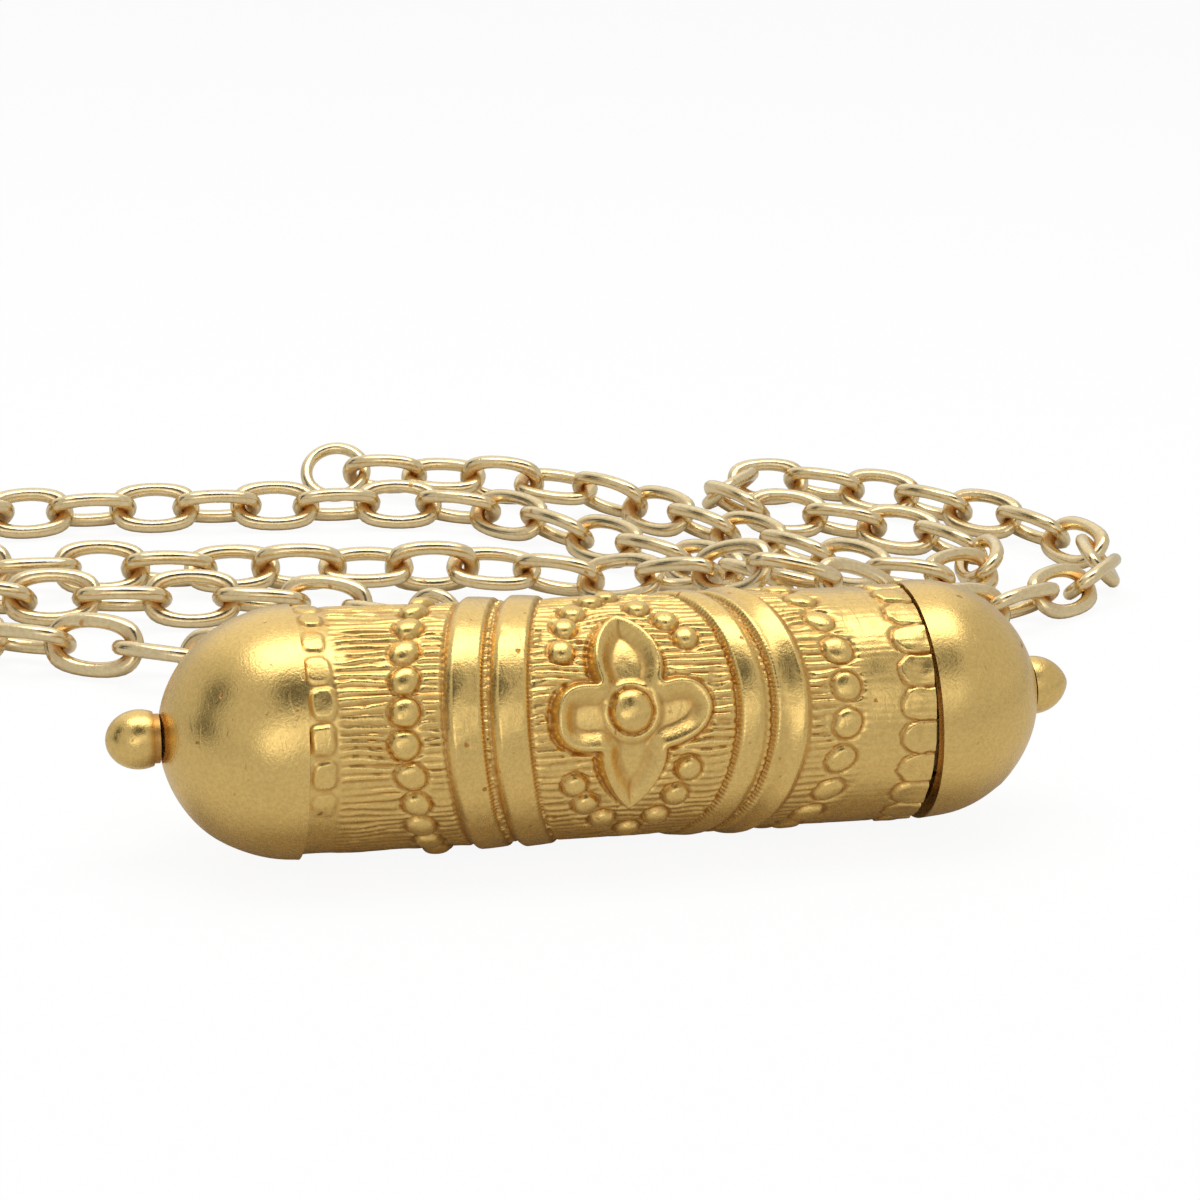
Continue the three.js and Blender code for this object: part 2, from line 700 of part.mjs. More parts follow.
// End ring: in line with the last link, leaning so that its rim rests on the table
const endHold = threaded(long, END_WIRE);
const endHeading = Math.atan2(long.end.along.y, long.end.along.x);
const endLean = Math.asin((endHold.z - FLOOR_Z - REST_GAP - END_WIRE) / END_RING);
const endRing = new THREE.TorusGeometry(END_RING, END_WIRE, 6, 16);
endRing.translate(END_RING, 0, 0);
endRing.rotateX(-endLean);
endRing.rotateZ(endHeading);
endRing.translate(endHold.x, endHold.y, endHold.z);
add("end_ring", closed(endRing), paleGold);

// Jump ring of the clasp, standing up in the last link
const claspHold = threaded(front, CLASP_RING_WIRE);
const claspHeading = Math.atan2(front.end.along.y, front.end.along.x);
const claspRingZ = FLOOR_Z + REST_GAP + CLASP_RING + CLASP_RING_WIRE;
const claspRing = new THREE.TorusGeometry(CLASP_RING, CLASP_RING_WIRE, 6, 16);
claspRing.rotateX(Math.PI / 2);
claspRing.translate(CLASP_RING, 0, 0);
claspRing.rotateZ(claspHeading);
claspRing.translate(claspHold.x, claspHold.y, claspRingZ);
add("clasp_jump_ring", closed(claspRing), paleGold);

// Clasp: its eye on the ring, its nose down on the table. Its own frame has the eye at the
// origin and the hook along X.
const clasp = new THREE.Group();
const eyeReach = 2 * CLASP_RING + EYE_PULL;
clasp.position.set(
  claspHold.x + eyeReach * Math.cos(claspHeading),
  claspHold.y + eyeReach * Math.sin(claspHeading),
  claspRingZ,
);
const noseDrop = (CLASP_RING + CLASP_RING_WIRE - CLASP_THICKNESS / 2) / (HOOK_REACH + HOOK_RADIUS);
clasp.rotation.set(0, Math.asin(noseDrop), claspHeading, "ZYX");
model.add(clasp);

function disc(x, y, radius, thickness, sides = 16) {
  const shape = new THREE.CylinderGeometry(radius, radius, thickness, sides);
  shape.rotateX(Math.PI / 2);
  shape.translate(x, y, 0);
  return solid(shape);
}

function plate(points, thickness) {
  const shape = new THREE.Shape(points.map(([x, y]) => new THREE.Vector2(x, y)));
  const slab = new THREE.ExtrudeGeometry(shape, { depth: thickness, bevelEnabled: false });
  slab.translate(0, 0, -thickness / 2);
  return solid(slab);
}

const through = 2 * CLASP_THICKNESS;
const pivotRing = (HOOK_RADIUS + HOOK_HOLE) / 2;
const pivotX = HOOK_REACH + pivotRing * Math.cos(rad(PIVOT_ANGLE));
const pivotY = pivotRing * Math.sin(rad(PIVOT_ANGLE));
const wedgeReach = 2 * LEVER_LENGTH;
const wedge = (low, high) => plate([
  [pivotX, pivotY],
  [pivotX + wedgeReach * Math.cos(rad(low)), pivotY + wedgeReach * Math.sin(rad(low))],
  [pivotX + wedgeReach * Math.cos(rad(high)), pivotY + wedgeReach * Math.sin(rad(high))],
], through);
const around = (radius, thickness) => disc(pivotX, pivotY, radius, thickness);
const slotRadius = LEVER_BOSS + LEVER_CLEARANCE;
const pocketEnd = pivotX - LEVER_BOSS;
const springRoot = pocketEnd - 2 * SPRING_STRIP - SPRING_REACH;
const springY = pivotY - SPRING_OPEN;
const pocket = plate([
  [springRoot - POCKET_CLEARANCE, springY - SPRING_OPEN - POCKET_CLEARANCE],
  [pocketEnd, springY - SPRING_OPEN - POCKET_CLEARANCE],
  [pocketEnd, springY + SPRING_OPEN + POCKET_CLEARANCE],
  [springRoot - POCKET_CLEARANCE, springY + SPRING_OPEN + POCKET_CLEARANCE],
], SPRING_WIDTH + 2 * POCKET_CLEARANCE);

const stem = plate([
  [STEM_FROM, -STEM_NARROW],
  [HOOK_REACH - pivotRing, -STEM_WIDE],
  [HOOK_REACH - pivotRing, STEM_WIDE],
  [STEM_FROM, STEM_NARROW],
], CLASP_THICKNESS);
const gate = around(LEVER_LENGTH + LEVER_CLEARANCE, through)
  .subtract(around(slotRadius, 2 * through))
  .intersect(wedge(LEVER_LOW_ANGLE, LEVER_HIGH_ANGLE + LEVER_HIGH_ANGLE / 2));
const claspBody = disc(0, 0, EYE_RADIUS, EYE_THICKNESS)
  .add(stem)
  .add(disc(HOOK_REACH, 0, HOOK_RADIUS, CLASP_THICKNESS, 24))
  .subtract(disc(0, 0, EYE_HOLE, through))
  .subtract(disc(HOOK_REACH, 0, HOOK_HOLE, through, 24))
  .subtract(gate)
  .subtract(around(slotRadius, SLOT_THICKNESS))
  .subtract(around(PIN_RADIUS + PIN_CLEARANCE, through))
  .subtract(pocket);
add("clasp_body", geometryOf(claspBody), paleGold, clasp);

const thumbRing = HOOK_RADIUS + THUMB_RADIUS / 2;
const lever = disc(HOOK_REACH, 0, HOOK_RADIUS, LEVER_THICKNESS, 24)
  .subtract(disc(HOOK_REACH, 0, HOOK_HOLE, through, 24))
  .intersect(around(LEVER_LENGTH, through))
  .intersect(wedge(LEVER_LOW_ANGLE / 2, LEVER_HIGH_ANGLE))
  .add(around(LEVER_BOSS, LEVER_THICKNESS))
  .add(disc(
    HOOK_REACH + thumbRing * Math.cos(rad(THUMB_ANGLE)),
    thumbRing * Math.sin(rad(THUMB_ANGLE)),
    THUMB_RADIUS,
    LEVER_THICKNESS,
  ))
  .subtract(around(PIN_RADIUS + PIN_CLEARANCE, through));
add("clasp_lever", geometryOf(lever), paleGold, clasp);
add("clasp_pin", geometryOf(around(PIN_RADIUS, CLASP_THICKNESS - 2 * PIN_RECESS)), steel, clasp);

const springTip = pocketEnd - 2 * SPRING_STRIP;
add("clasp_spring", geometryOf(plate([
  [springTip, springY - SPRING_OPEN],
  [springTip, springY - SPRING_OPEN + SPRING_STRIP],
  [springRoot + 2 * SPRING_STRIP, springY],
  [springTip, springY + SPRING_OPEN - SPRING_STRIP],
  [springTip, springY + SPRING_OPEN],
  [springRoot, springY],
], SPRING_WIDTH)), steel, clasp);

export default model;
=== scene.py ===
"""Amulet necklace: a satin gold tube case with cast ornament, on an undone pale gold cable chain.

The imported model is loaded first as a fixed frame. Every piece made here lies where its CAD node
lies, in metres, with its place in its mesh.
"""

import json
import math

import bmesh
import bpy
import numpy as np
from mathutils import Matrix, Vector

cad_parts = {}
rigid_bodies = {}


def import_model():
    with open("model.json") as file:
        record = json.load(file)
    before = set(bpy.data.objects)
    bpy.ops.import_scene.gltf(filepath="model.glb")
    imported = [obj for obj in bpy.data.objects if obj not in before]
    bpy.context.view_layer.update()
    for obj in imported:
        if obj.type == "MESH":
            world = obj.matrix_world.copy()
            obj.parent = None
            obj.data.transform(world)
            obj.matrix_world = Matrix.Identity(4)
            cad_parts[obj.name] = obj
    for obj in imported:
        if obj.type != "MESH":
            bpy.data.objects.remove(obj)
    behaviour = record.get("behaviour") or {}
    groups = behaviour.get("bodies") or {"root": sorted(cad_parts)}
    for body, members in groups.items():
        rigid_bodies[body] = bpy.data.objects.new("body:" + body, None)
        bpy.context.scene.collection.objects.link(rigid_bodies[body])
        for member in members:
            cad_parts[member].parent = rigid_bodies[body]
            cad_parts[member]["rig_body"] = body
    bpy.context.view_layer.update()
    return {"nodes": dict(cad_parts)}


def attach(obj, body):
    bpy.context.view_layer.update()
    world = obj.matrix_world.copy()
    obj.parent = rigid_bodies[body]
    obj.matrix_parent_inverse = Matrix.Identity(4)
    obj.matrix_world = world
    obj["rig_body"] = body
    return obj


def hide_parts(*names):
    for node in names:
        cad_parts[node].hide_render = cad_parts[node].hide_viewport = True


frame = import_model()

bl_info = {
    "name": "Amulet necklace",
    "version": (1, 0, 0),
    "blender": (4, 5, 0),
    "location": "3D View > Sidebar > Amulet",
    "description": "Dresses a tube amulet case and its chain in satin and pale gold",
    "category": "Object",
}

MM = 0.001

# Barrel, in the sizes of the solid that it replaces
FACETS = 36
TUBE_RADIUS = 7.22 * MM
BORE_RADIUS = 6.2 * MM
NECK_RADIUS = 6.8 * MM
NECK_LENGTH = 2.0 * MM
JOINT_X = -18.65 * MM
MOUTH_X = 18.87 * MM
ORNAMENT_ANGLE = math.radians(22.7)
AXIS_Z = TUBE_RADIUS * math.cos(math.pi / FACETS)

# Relief along the barrel: its places at the rosette's side, and what repeats round it
LEAN = 2.8 * MM
LEFT_BAND_END = -17.1 * MM
LEFT_BEADS_X = -13.2 * MM
LEFT_RINGS = ((-10.9 * MM, -8.6 * MM), (-8.2 * MM, -5.9 * MM))
RIGHT_RINGS = ((6.6 * MM, 8.4 * MM), (8.8 * MM, 11.1 * MM))
RIGHT_BEADS_X = 13.4 * MM
BEAD_MOAT = 0.1 * MM
SMOOTH_FROM = 14.2 * MM
SCALLOPS_X = 17.75 * MM
GRID_STEP = 0.1 * MM
TURN_STEPS = 540
HATCH_LINES = 92
MILLING_LINES = 168
END_LOBES = 22
RECESS_REACH = 0.2 * MM
RECESS_DEPTH = 0.045 * MM

# Rosette, and the beads of its wreath: [x, angle] in millimetres and degrees
ROSETTE_X = 0.1 * MM
ROSETTE_HALF = 5.8 * MM
ROSETTE_REACH = 7.4 * MM
DISH_HEIGHT = 0.12 * MM
BOSS_RADIUS = 1.25 * MM
BOSS_HEIGHT = 0.66 * MM
BOSS_GROUND = 0.24 * MM
WREATH_BEAD = 0.78 * MM
WREATH = (
    (-3.6, 53), (-3.1, 67.6), (-2.3, 79.3), (-0.9, 91.7),
    (0.3, 98.4), (1.7, 81.7), (3.1, 70.3), (4.0, 58.5),
    (-3.2, -12.1), (-2.4, -23.9), (-1.2, -35.4), (0.6, -46.6),
    (2.1, -35.6), (3.0, -20.8), (3.6, -6.3),
)

# Domes and finials, in the solids' sizes but with smaller gaps and the cone's own outline
DOME_STEPS = 180
DOME_ROWS = 48
HOLLOW_ROWS = 12
FINIAL_STEPS = 64
FINIAL_ROWS = 24
LUMPS = 0.05 * MM
PAD_RADIUS = 1.25 * MM
DOME_RADIUS = 7.58 * MM
DOME_LENGTH = 7.9 * MM
DOME_WALL = 0.7 * MM
SEAT_GAP = 0.01 * MM
NECK_CLEARANCE = 0.15 * MM
CAP_RADIUS = 7.45 * MM
CAP_SKIRT = 1.0 * MM
CAP_LENGTH = 8.25 * MM
CAP_WALL = 0.7 * MM
CAP_ROOM = 0.5 * MM
CAP_GAP = 0.06 * MM
CAP_LEAN = math.radians(4.2)
CAP_CONTACT_ANGLE = math.radians(75)
CAP_RISE = 0.1 * MM
KNOB_RADIUS = 1.75 * MM
KNOB_STRETCH = 1.11
KNOB_CUT = 0.91
KNOB_NECK_RADIUS = 1.45 * MM
KNOB_NECK_LENGTH = 0.35 * MM
KNOB_SHADOW = 2.2 * KNOB_NECK_LENGTH
CONE_RADIUS = 1.84 * MM
CONE_LENGTH = 2.6 * MM
CONE_ROUNDING = 2.5
CONE_BLUNTNESS = 0.74

# Split spring collar, with its angles in degrees
COLLAR_RADIUS = BORE_RADIUS * math.cos(math.pi / FACETS) - 0.15 * MM
COLLAR_WALL = 0.45 * MM
COLLAR_INSIDE = 5.0 * MM
COLLAR_OUTSIDE = 3.4 * MM
COLLAR_STEPS = 288
COLLAR_SLOTS = 9
COLLAR_SLOT_ANGLE = -27
COLLAR_SLOT_DEPTH = 2.9 * MM
COLLAR_SLOT_HALF = 2.6
COLLAR_SPLIT_ANGLE = -47
COLLAR_SPLIT_HALF = 1.3

# Bails, jump rings and the rings at the chain's ends. Wire that turns on other wire is slimmer
BAIL_X = 14 * MM
BAIL_WIRE = 0.6 * MM
BAIL_RING = 1.85 * MM
BAIL_SUNK = 0.2 * MM
JUMP_WIRE = 0.52 * MM
JUMP_RING = 2.35 * MM
JUMP_DROP = math.radians(28)
END_RING = 2.5 * MM
END_WIRE = 0.55 * MM
SLIMNESS = 0.93
CLASP_RING = 1.9 * MM
CLASP_RING_WIRE = 0.45 * MM

# Oval links
LINK_LENGTH = 7.4 * MM
LINK_WIDTH = 4.6 * MM
LINK_WIRE = 0.575 * MM
LINK_CORNER = 1.15 * LINK_WIRE
LINK_SIDES = 12
LINK_STEPS = 36
BEARING = 0.16 * MM
PLAY = 0.2 * MM
THREAD_GAP = 0.16 * MM
LINK_ROLL = 45
START_TWIST = 35
LINKS_IN_NODE = 4
FRONT_LINKS = 18
LONG_LINKS = 71
REST_GAP = 0.04 * MM
CROSSING = 4.0
ARC_STEPS = 200
SAMPLES_A_POINT = 40
FLOOR_Z = AXIS_Z - DOME_RADIUS * math.cos(math.pi / FACETS)


def across(angle, radius=1.0):
    """A point across the case, at an angle above the horizontal that faces -Y."""
    return Vector((0, -radius * math.cos(angle), radius * math.sin(angle)))


BAIL_REACH = TUBE_RADIUS + BAIL_RING + BAIL_WIRE - BAIL_SUNK - BAIL_WIRE / 2
BAIL_EYE = across(ORNAMENT_ANGLE + math.pi, BAIL_REACH) + Vector((0, 0, AXIS_Z))
DROP = Vector((0, math.cos(JUMP_DROP), -math.sin(JUMP_DROP)))
RING_END = BAIL_EYE + DROP * (2 * JUMP_RING - JUMP_WIRE - THREAD_GAP - PLAY / 2)
HALF_LINE = LINK_LENGTH / 2 - LINK_WIRE
HALF_WIDTH = LINK_WIDTH / 2 - LINK_WIRE
INNER_HALF = HALF_LINE - LINK_CORNER


def rest_height(twist):
    """Height of a link's middle over the table, when its plane leans 45 degrees and twist more."""
    return HALF_WIDTH * math.sin(math.radians(LINK_ROLL + abs(twist))) + LINK_CORNER + REST_GAP


START_RISE = (RING_END.z - FLOOR_Z - rest_height(START_TWIST)) / MM

# Where the chain lies: [x, y, rise, twist] in millimetres and degrees
FRONT_ROUTE = (
    (-BAIL_X / MM, RING_END.y / MM, START_RISE, START_TWIST),
    (-13.5, 18, 0, 0.5 * START_TWIST), (-16.6, 25, 0, 0), (-22.3, 29.6, 0, -20), (-28.4, 32.2, 0, -27),
    (-34, 35.6, 0, -10), (-38.2, 35.6, 0, 0), (-42, 37.4, 0, 0), (-43.6, 41, 0, 0),
    (-41.6, 44.6, 0, 0), (-37.4, 46, 0, 0), (-33.4, 44.6, 0, 0), (-25, 42.8, 0, 12),
    (-16.5, 41.6, 0, 12), (-8, 38, 0, 15), (-2, 32.6, 0, 30), (1.4, 26.4, 0, 30),
)
LONG_ROUTE = (
    (BAIL_X / MM, RING_END.y / MM, START_RISE, START_TWIST),
    (16.2, 17, 0, 0.5 * START_TWIST), (20.2, 24, 0, 0), (22.6, 32, 0, 0), (24.6, 39, 0, 0),
    (21.8, 44, 0, 0), (18, 48.6, 0, 0), (14.2, 53, 0, 0), (10.8, 58, 0, 0),
    (6.6, 63.2, 0, 0), (1, 65.8, 0, 0), (-8, 66.4, 0, 0), (-20, 67, 0, 0),
    (-33, 66.3, 0, 0), (-38.5, 64, 0, 0), (-41.9, 59, 0, 0), (-40.1, 53, 0, 0),
    (-36, 50.8, 0, 10), (-31, 50.6, 0, 22), (-20, 50, 0, 0), (-9, 48, 0, -20),
    (2.2, 46.6, 0, -30), (9.6, 43.4, 0, -10), (16, 38, 0.5 * CROSSING, 0), (21.4, 32.4, CROSSING, 20),
    (29, 31.4, 0.5 * CROSSING, 0), (36.6, 32.4, 0, 0), (44.6, 35.6, 0, 0), (51, 40.4, 0, 0),
    (53, 47, 0, 0), (50.6, 54, 0, 0), (45.4, 60.6, 0, 0), (40, 66, 0, 0),
    (35, 69.4, 0, 0), (29.8, 69.2, 0, 0), (26.8, 65.2, 0, 0), (29.2, 60.8, 0, 0),
    (35.4, 57, 0, 0), (41.8, 51, 0, 0), (43.4, 45, 0, 0), (39.4, 40.8, 0, 0),
    (34, 42.4, 0, 0), (30.4, 47, 0, 0), (26.4, 52.6, 0, 0), (22.6, 58.2, 0, 0),
    (19, 63.8, 0, 0), (14, 68.4, 0, 20), (8.6, 70.8, 0, 35), (2.7, 73.2, 0, 25),
    (-4, 75.2, 0, 10), (-12, 76.6, 0, 10),
)

# Solids that are kept: [node, slot, width of the softened edge]
KEPT_SOLIDS = (
    ("clasp_body", "pale_gold", 0.28 * MM),
    ("clasp_lever", "pale_gold", 0.12 * MM),
    ("clasp_pin", "spring_steel", 0.05 * MM),
    ("clasp_spring", "spring_steel", 0.02 * MM),
    ("prayer_scroll", "scroll_paper", 0.03 * MM),
    ("scroll_thread", "cotton_thread", 0.04 * MM),
)
WELD_REACH = 0.002 * MM

# Edges that stay sharp, by the angle between their faces in degrees
SHARP = 60
SHARP_TURNED = 40
SHARP_FINIAL = 50
SHARP_WIRE = 80

# Metal: how far its colour varies, how much of the low colour pits take, and how much of it is painted into
# recesses as shade
TINT_LOW = 0.84
TINT_HIGH = 1.1
PIT_STAIN = 0.8
RECESS_SHADE = 0.66

# Camera that was fitted to the picture
CAMERA_EYE = Vector((-0.03975, -0.1509, 0.06528))
CAMERA_BACK = Vector((-0.2406, -0.9201, 0.309)).normalized()
CAMERA_RIGHT = Vector((0.9699, -0.2405, 0.0388)).normalized()

# Softbox above, the table, and the room that the metal mirrors
OVERHEAD_PLACE = (0.0, 0.035, 0.34)
OVERHEAD_TARGET = (0.0, 0.02, 0.0)
OVERHEAD_SIZE = (0.34, 0.18)
TABLE_HALF = 3
TABLE_SEEN = 0.88
TABLE_GLOW = 1.05
ROOM_TONE = 0.6

# Darker and brighter parts of the room: [direction, cosine at the rim, cosine inside, change]
ROOM_PARTS = (
    ((-0.02, -0.56, 0.83), 0.94, 0.968, -0.95),
    ((-0.85, 0.05, 0.5), 0.965, 0.99, -0.95),
    ((-0.98, -0.05, 0.1), 0.965, 0.99, -0.95),
    ((-0.28, -0.93, 0.2), 0.955, 0.985, 1.5),
    ((0.15, -0.88, 0.42), 0.955, 0.985, 0.7),
    ((0.0, 0.75, 0.66), 0.75, 0.92, 0.6),
)


def length(name, description, default):
    """A setting that is a small length."""
    return bpy.props.FloatProperty(
        name=name, description=description, default=default, unit="LENGTH", precision=5)


def tone(name, description, default):
    """A setting that is a colour."""
    return bpy.props.FloatVectorProperty(
        name=name, description=description, default=default, subtype="COLOR", min=0, max=1)


class AmuletRelief(bpy.types.PropertyGroup):
    """Heights of the cast ornament on the barrel."""

    ring_rise: length("Ring rise", "Height of the raised rings", 0.32 * MM)
    bead_rise: length("Bead rise", "Height of the round beads", 0.42 * MM)
    hatch_rise: length("Hatch rise", "Height of the lines between ornaments", 0.2 * MM)
    petal_rise: length("Petal rise", "Height of the rosette's border", 0.78 * MM)
    scallop_rise: length("Scallop rise", "Height of the end bands' lobes", 0.16 * MM)


class AmuletFinish(bpy.types.PropertyGroup):
    """Colours and gloss of the metals, the paper and the thread."""

    gold: tone("Satin gold", "The case's gold plate", (0.87, 0.6, 0.205))
    # The low colour of the pits, which is also painted into recesses as shade
    gold_pits_and_shade: tone("Gold in recesses", "The orange brown of low spots", (0.46, 0.19, 0.035))
    gold_roughness: bpy.props.FloatProperty(
        name="Satin roughness", description="Roughness of the case's gold", default=0.27, min=0, max=1)
    pale: tone("Pale gold", "The chain's champagne gold", (0.9, 0.72, 0.41))
    pale_roughness: bpy.props.FloatProperty(
        name="Chain roughness", description="Roughness of the chain's wire", default=0.2, min=0, max=1)
    brass: tone("Collar brass", "The dull tan of the split collar", (0.88, 0.57, 0.24))
    steel: tone("Spring steel", "The clasp's pin and spring", (0.56, 0.55, 0.52))
    paper: tone("Paper", "The rolled paper", (0.74, 0.66, 0.48))
    cotton: tone("Thread", "The thread round the paper", (0.25, 0.03, 0.02))


class AmuletStudio(bpy.types.PropertyGroup):
    """Camera, lamp and table."""

    lens: bpy.props.FloatProperty(
        name="Focal length", description="Camera focal length in millimetres", default=82.5,
        min=20, max=300)
    overhead: bpy.props.FloatProperty(
        name="Overhead lamp", description="Power of the softbox above", default=0.46,
        unit="POWER", min=0)
    ambient: bpy.props.FloatProperty(
        name="Ambient", description="Light of the room on the table", default=0.35, min=0, max=2)
    table: tone("Table", "Colour of the table", (0.92, 0.92, 0.92))


class Number:
    """A node's output, with Python's operators as Math nodes."""

    def __init__(self, shader, socket):
        self.shader = shader
        self.socket = socket

    def join(self, operation, first, second):
        """A Math node of two numbers."""
        return self.shader.node("ShaderNodeMath", {"operation": operation}, {0: first, 1: second})

    def __add__(self, other):
        return self.join("ADD", self, other)

    __radd__ = __add__

    def __sub__(self, other):
        return self.join("SUBTRACT", self, other)

    def __rsub__(self, other):
        return self.join("SUBTRACT", other, self)

    def __mul__(self, other):
        return self.join("MULTIPLY", self, other)

    __rmul__ = __mul__


class Shader:
    """A node tree that is filled node by node."""

    def __init__(self, tree):
        self.tree = tree
        tree.nodes.clear()

    def node(self, kind, settings=None, sockets=None, output=0):
        """Adds a node, sets it, feeds its sockets and returns one output."""
        made = self.tree.nodes.new(kind)
        for key, value in (settings or {}).items():
            if key == "stops":
                ramp = made.color_ramp
                while len(ramp.elements) < len(value):
                    ramp.elements.new(1)
                for element, (place, grey) in zip(ramp.elements, value):
                    element.position = place
                    element.color = (grey, grey, grey, 1)
            else:
                setattr(made, key, value)
        for key, value in (sockets or {}).items():
            if isinstance(value, Number):
                self.tree.links.new(value.socket, made.inputs[key])
            else:
                made.inputs[key].default_value = value
        return Number(self, made.outputs[output]) if made.outputs else None

    def colour(self, factor, first, second):
        """A colour between two others."""
        return self.node("ShaderNodeMix", {"data_type": "RGBA"}, {0: factor, 6: first, 7: second}, 2)

    def noise(self, place, scale, detail=2.0, roughness=0.5, distortion=0.0):
        """Noise from 0 to 1, with scale as its waves a millimetre."""
        return self.node("ShaderNodeTexNoise", {}, {
            "Vector": place, "Scale": scale, "Detail": detail, "Roughness": roughness,
            "Distortion": distortion})

    def ramp(self, value, *stops):
        """A number led through [place, grey] stops."""
        return self.node("ShaderNodeValToRGB", {"stops": stops}, {"Fac": value})

    def place(self, stretch=(1, 1, 1)):
        """Object coordinates in millimetres, with a pattern drawn out along an axis."""
        spot = self.node("ShaderNodeTexCoord", output=3)
        return self.node("ShaderNodeMapping", {}, {"Vector": spot, "Scale": tuple(s / MM for s in stretch)})

    def bump(self, height, distance):
        """A normal from a height."""
        return self.node("ShaderNodeBump", {}, {"Height": height, "Distance": distance, "Strength": 1.0})

    def surface(self, sockets):
        """A principled surface as the material's output."""
        body = self.node("ShaderNodeBsdfPrincipled", {}, sockets)
        self.node("ShaderNodeOutputMaterial", {}, {"Surface": body})

    def attribute(self, name):
        """A number that the mesh carries at each point."""
        return self.node("ShaderNodeAttribute", {"attribute_name": name}, output=2)


def rgba(colour):
    """A colour with its alpha, as sockets take it."""
    return (*colour, 1.0)


def toned(colour, *factors):
    """A colour times one factor, or times one for each channel, at most 1."""
    shares = factors if len(factors) == 3 else factors * 3
    return tuple(min(1.0, channel * share) for channel, share in zip(colour, shares))


def blank(name):
    """A new material and its emptied node tree."""
    material = bpy.data.materials.new(name)
    material.use_nodes = True
    return material, Shader(material.node_tree)


def metal(name, base, low, roughness, grain, cloud, tooth, recess=None):
    """A cast or drawn metal: clouded colour, fine grain, small pits, hair scratches and painted shade.

    grain and cloud are waves a millimetre, and tooth is the height of the grain. recess names the
    attribute that marks where the low colour is painted as shade.
    """
    material, shader = blank(name)
    spot = shader.place()
    clouds = shader.noise(spot, cloud, 3.0, 0.6)
    fine = shader.noise(spot, grain, 2.0, 0.6)
    even = shader.ramp(shader.noise(spot, grain * 0.26, 0.0), (0.0, 0.0), (0.13, 0.0), (0.19, 1.0))
    pits = 1 - even
    drawn = shader.noise(shader.place((1, 0.05, 0.3)), cloud * 7, 1.0, 0.5, 0.4)
    hair = shader.ramp(drawn, (0.66, 1.0), (0.7, 0.0))
    specks = shader.ramp(shader.noise(spot, grain * 0.7, 1.0), (0.3, 0.0), (0.7, 1.0))
    varied = clouds * 0.45 + specks * 0.55
    tint = shader.colour(varied, rgba(toned(base, TINT_LOW)), rgba(toned(base, TINT_HIGH)))
    tint = shader.colour(pits * PIT_STAIN, tint, rgba(low))
    rough = clouds * 0.1 + fine * 0.12 + (roughness - 0.11) + pits * 0.2
    # Painted shade: the low colour laid into recesses and other marked spots, where shade falls
    if recess:
        depth = shader.attribute(recess)
        tint = shader.colour(depth * RECESS_SHADE, tint, rgba(low))
        rough = rough + depth * 0.15
    bump = shader.bump(fine * 0.5 + even * 0.8 + hair * 0.25, tooth)
    shader.surface({"Base Color": tint, "Metallic": 1.0, "Roughness": rough, "Normal": bump})
    return material


def matt(name, base, dark, scale, stretch):
    """Paper or thread: fibres drawn out along an axis."""
    material, shader = blank(name)
    fibres = shader.noise(shader.place(stretch), scale, 4.0, 0.65)
    tint = shader.colour(fibres, rgba(base), rgba(dark))
    bump = shader.bump(fibres, 0.04 * MM)
    shader.surface({"Base Color": tint, "Roughness": fibres * 0.15 + 0.75, "Normal": bump})
    return material


def finish_named(slot):
    """The material of one record slot, made once. The frame has plain ones under the slots' own names."""
    name = f"{slot}_finish"
    made = bpy.data.materials.get(name)
    if made:
        return made
    finish = bpy.context.scene.amulet_finish
    pale, brass, steel = finish.pale, finish.brass, finish.steel
    metals = {
        "satin_gold": (finish.gold, finish.gold_pits_and_shade, finish.gold_roughness, 6.5, 0.26, 0.03 * MM, "recess"),
        # The chain's low colour, of its pits and of the shade painted where links meet
        "pale_gold": (
            pale, toned(pale, 0.7, 0.42, 0.2), finish.pale_roughness, 5.0, 0.3, 0.012 * MM, "recess"),
        "collar_brass": (brass, toned(brass, 0.45), 0.42, 7.0, 0.5, 0.02 * MM),
        "spring_steel": (steel, toned(steel, 0.5), 0.3, 7.0, 0.5, 0.01 * MM),
    }
    fibres = {
        "scroll_paper": (finish.paper, toned(finish.paper, 0.82), 1.6, (0.2, 1, 1)),
        "cotton_thread": (finish.cotton, toned(finish.cotton, 0.5), 6.0, (1, 1, 1)),
    }
    return metal(name, *metals[slot]) if slot in metals else matt(name, *fibres[slot])


def placed(name, bm):
    """A bmesh as an object of the scene, and its mesh."""
    mesh = bpy.data.meshes.new(name)
    bm.to_mesh(mesh)
    bm.free()
    made = bpy.data.objects.new(name, mesh)
    bpy.context.scene.collection.objects.link(made)
    return made, mesh


def piece(name, bm, body, nodes, slot, sharp=SHARP):
    """Turns a bmesh into a finished piece that rides on a body and stands for CAD nodes."""
    made, mesh = placed(name, bm)
    mesh.polygons.foreach_set("use_smooth", [True] * len(mesh.polygons))
    mesh.set_sharp_from_angle(angle=math.radians(sharp))
    mesh.materials.append(finish_named(slot))
    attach(made, body)
    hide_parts(*nodes)
    return mesh


def spun(profile, steps, closed=False):
    """A bmesh turned about X from (x, radius) points."""
    bm = bmesh.new()
    corners = [bm.verts.new((x, -r, 0)) for x, r in profile]
    edges = [bm.edges.new(pair) for pair in zip(corners, corners[1:])]
    if closed:
        edges.append(bm.edges.new((corners[-1], corners[0])))
    bmesh.ops.spin(
        bm, geom=corners + edges, cent=(0, 0, 0), axis=(1, 0, 0), angle=2 * math.pi, steps=steps,
        use_merge=True)
    bmesh.ops.remove_doubles(bm, verts=bm.verts, dist=0.001 * MM)
    bmesh.ops.recalc_face_normals(bm, faces=bm.faces)
    return bm


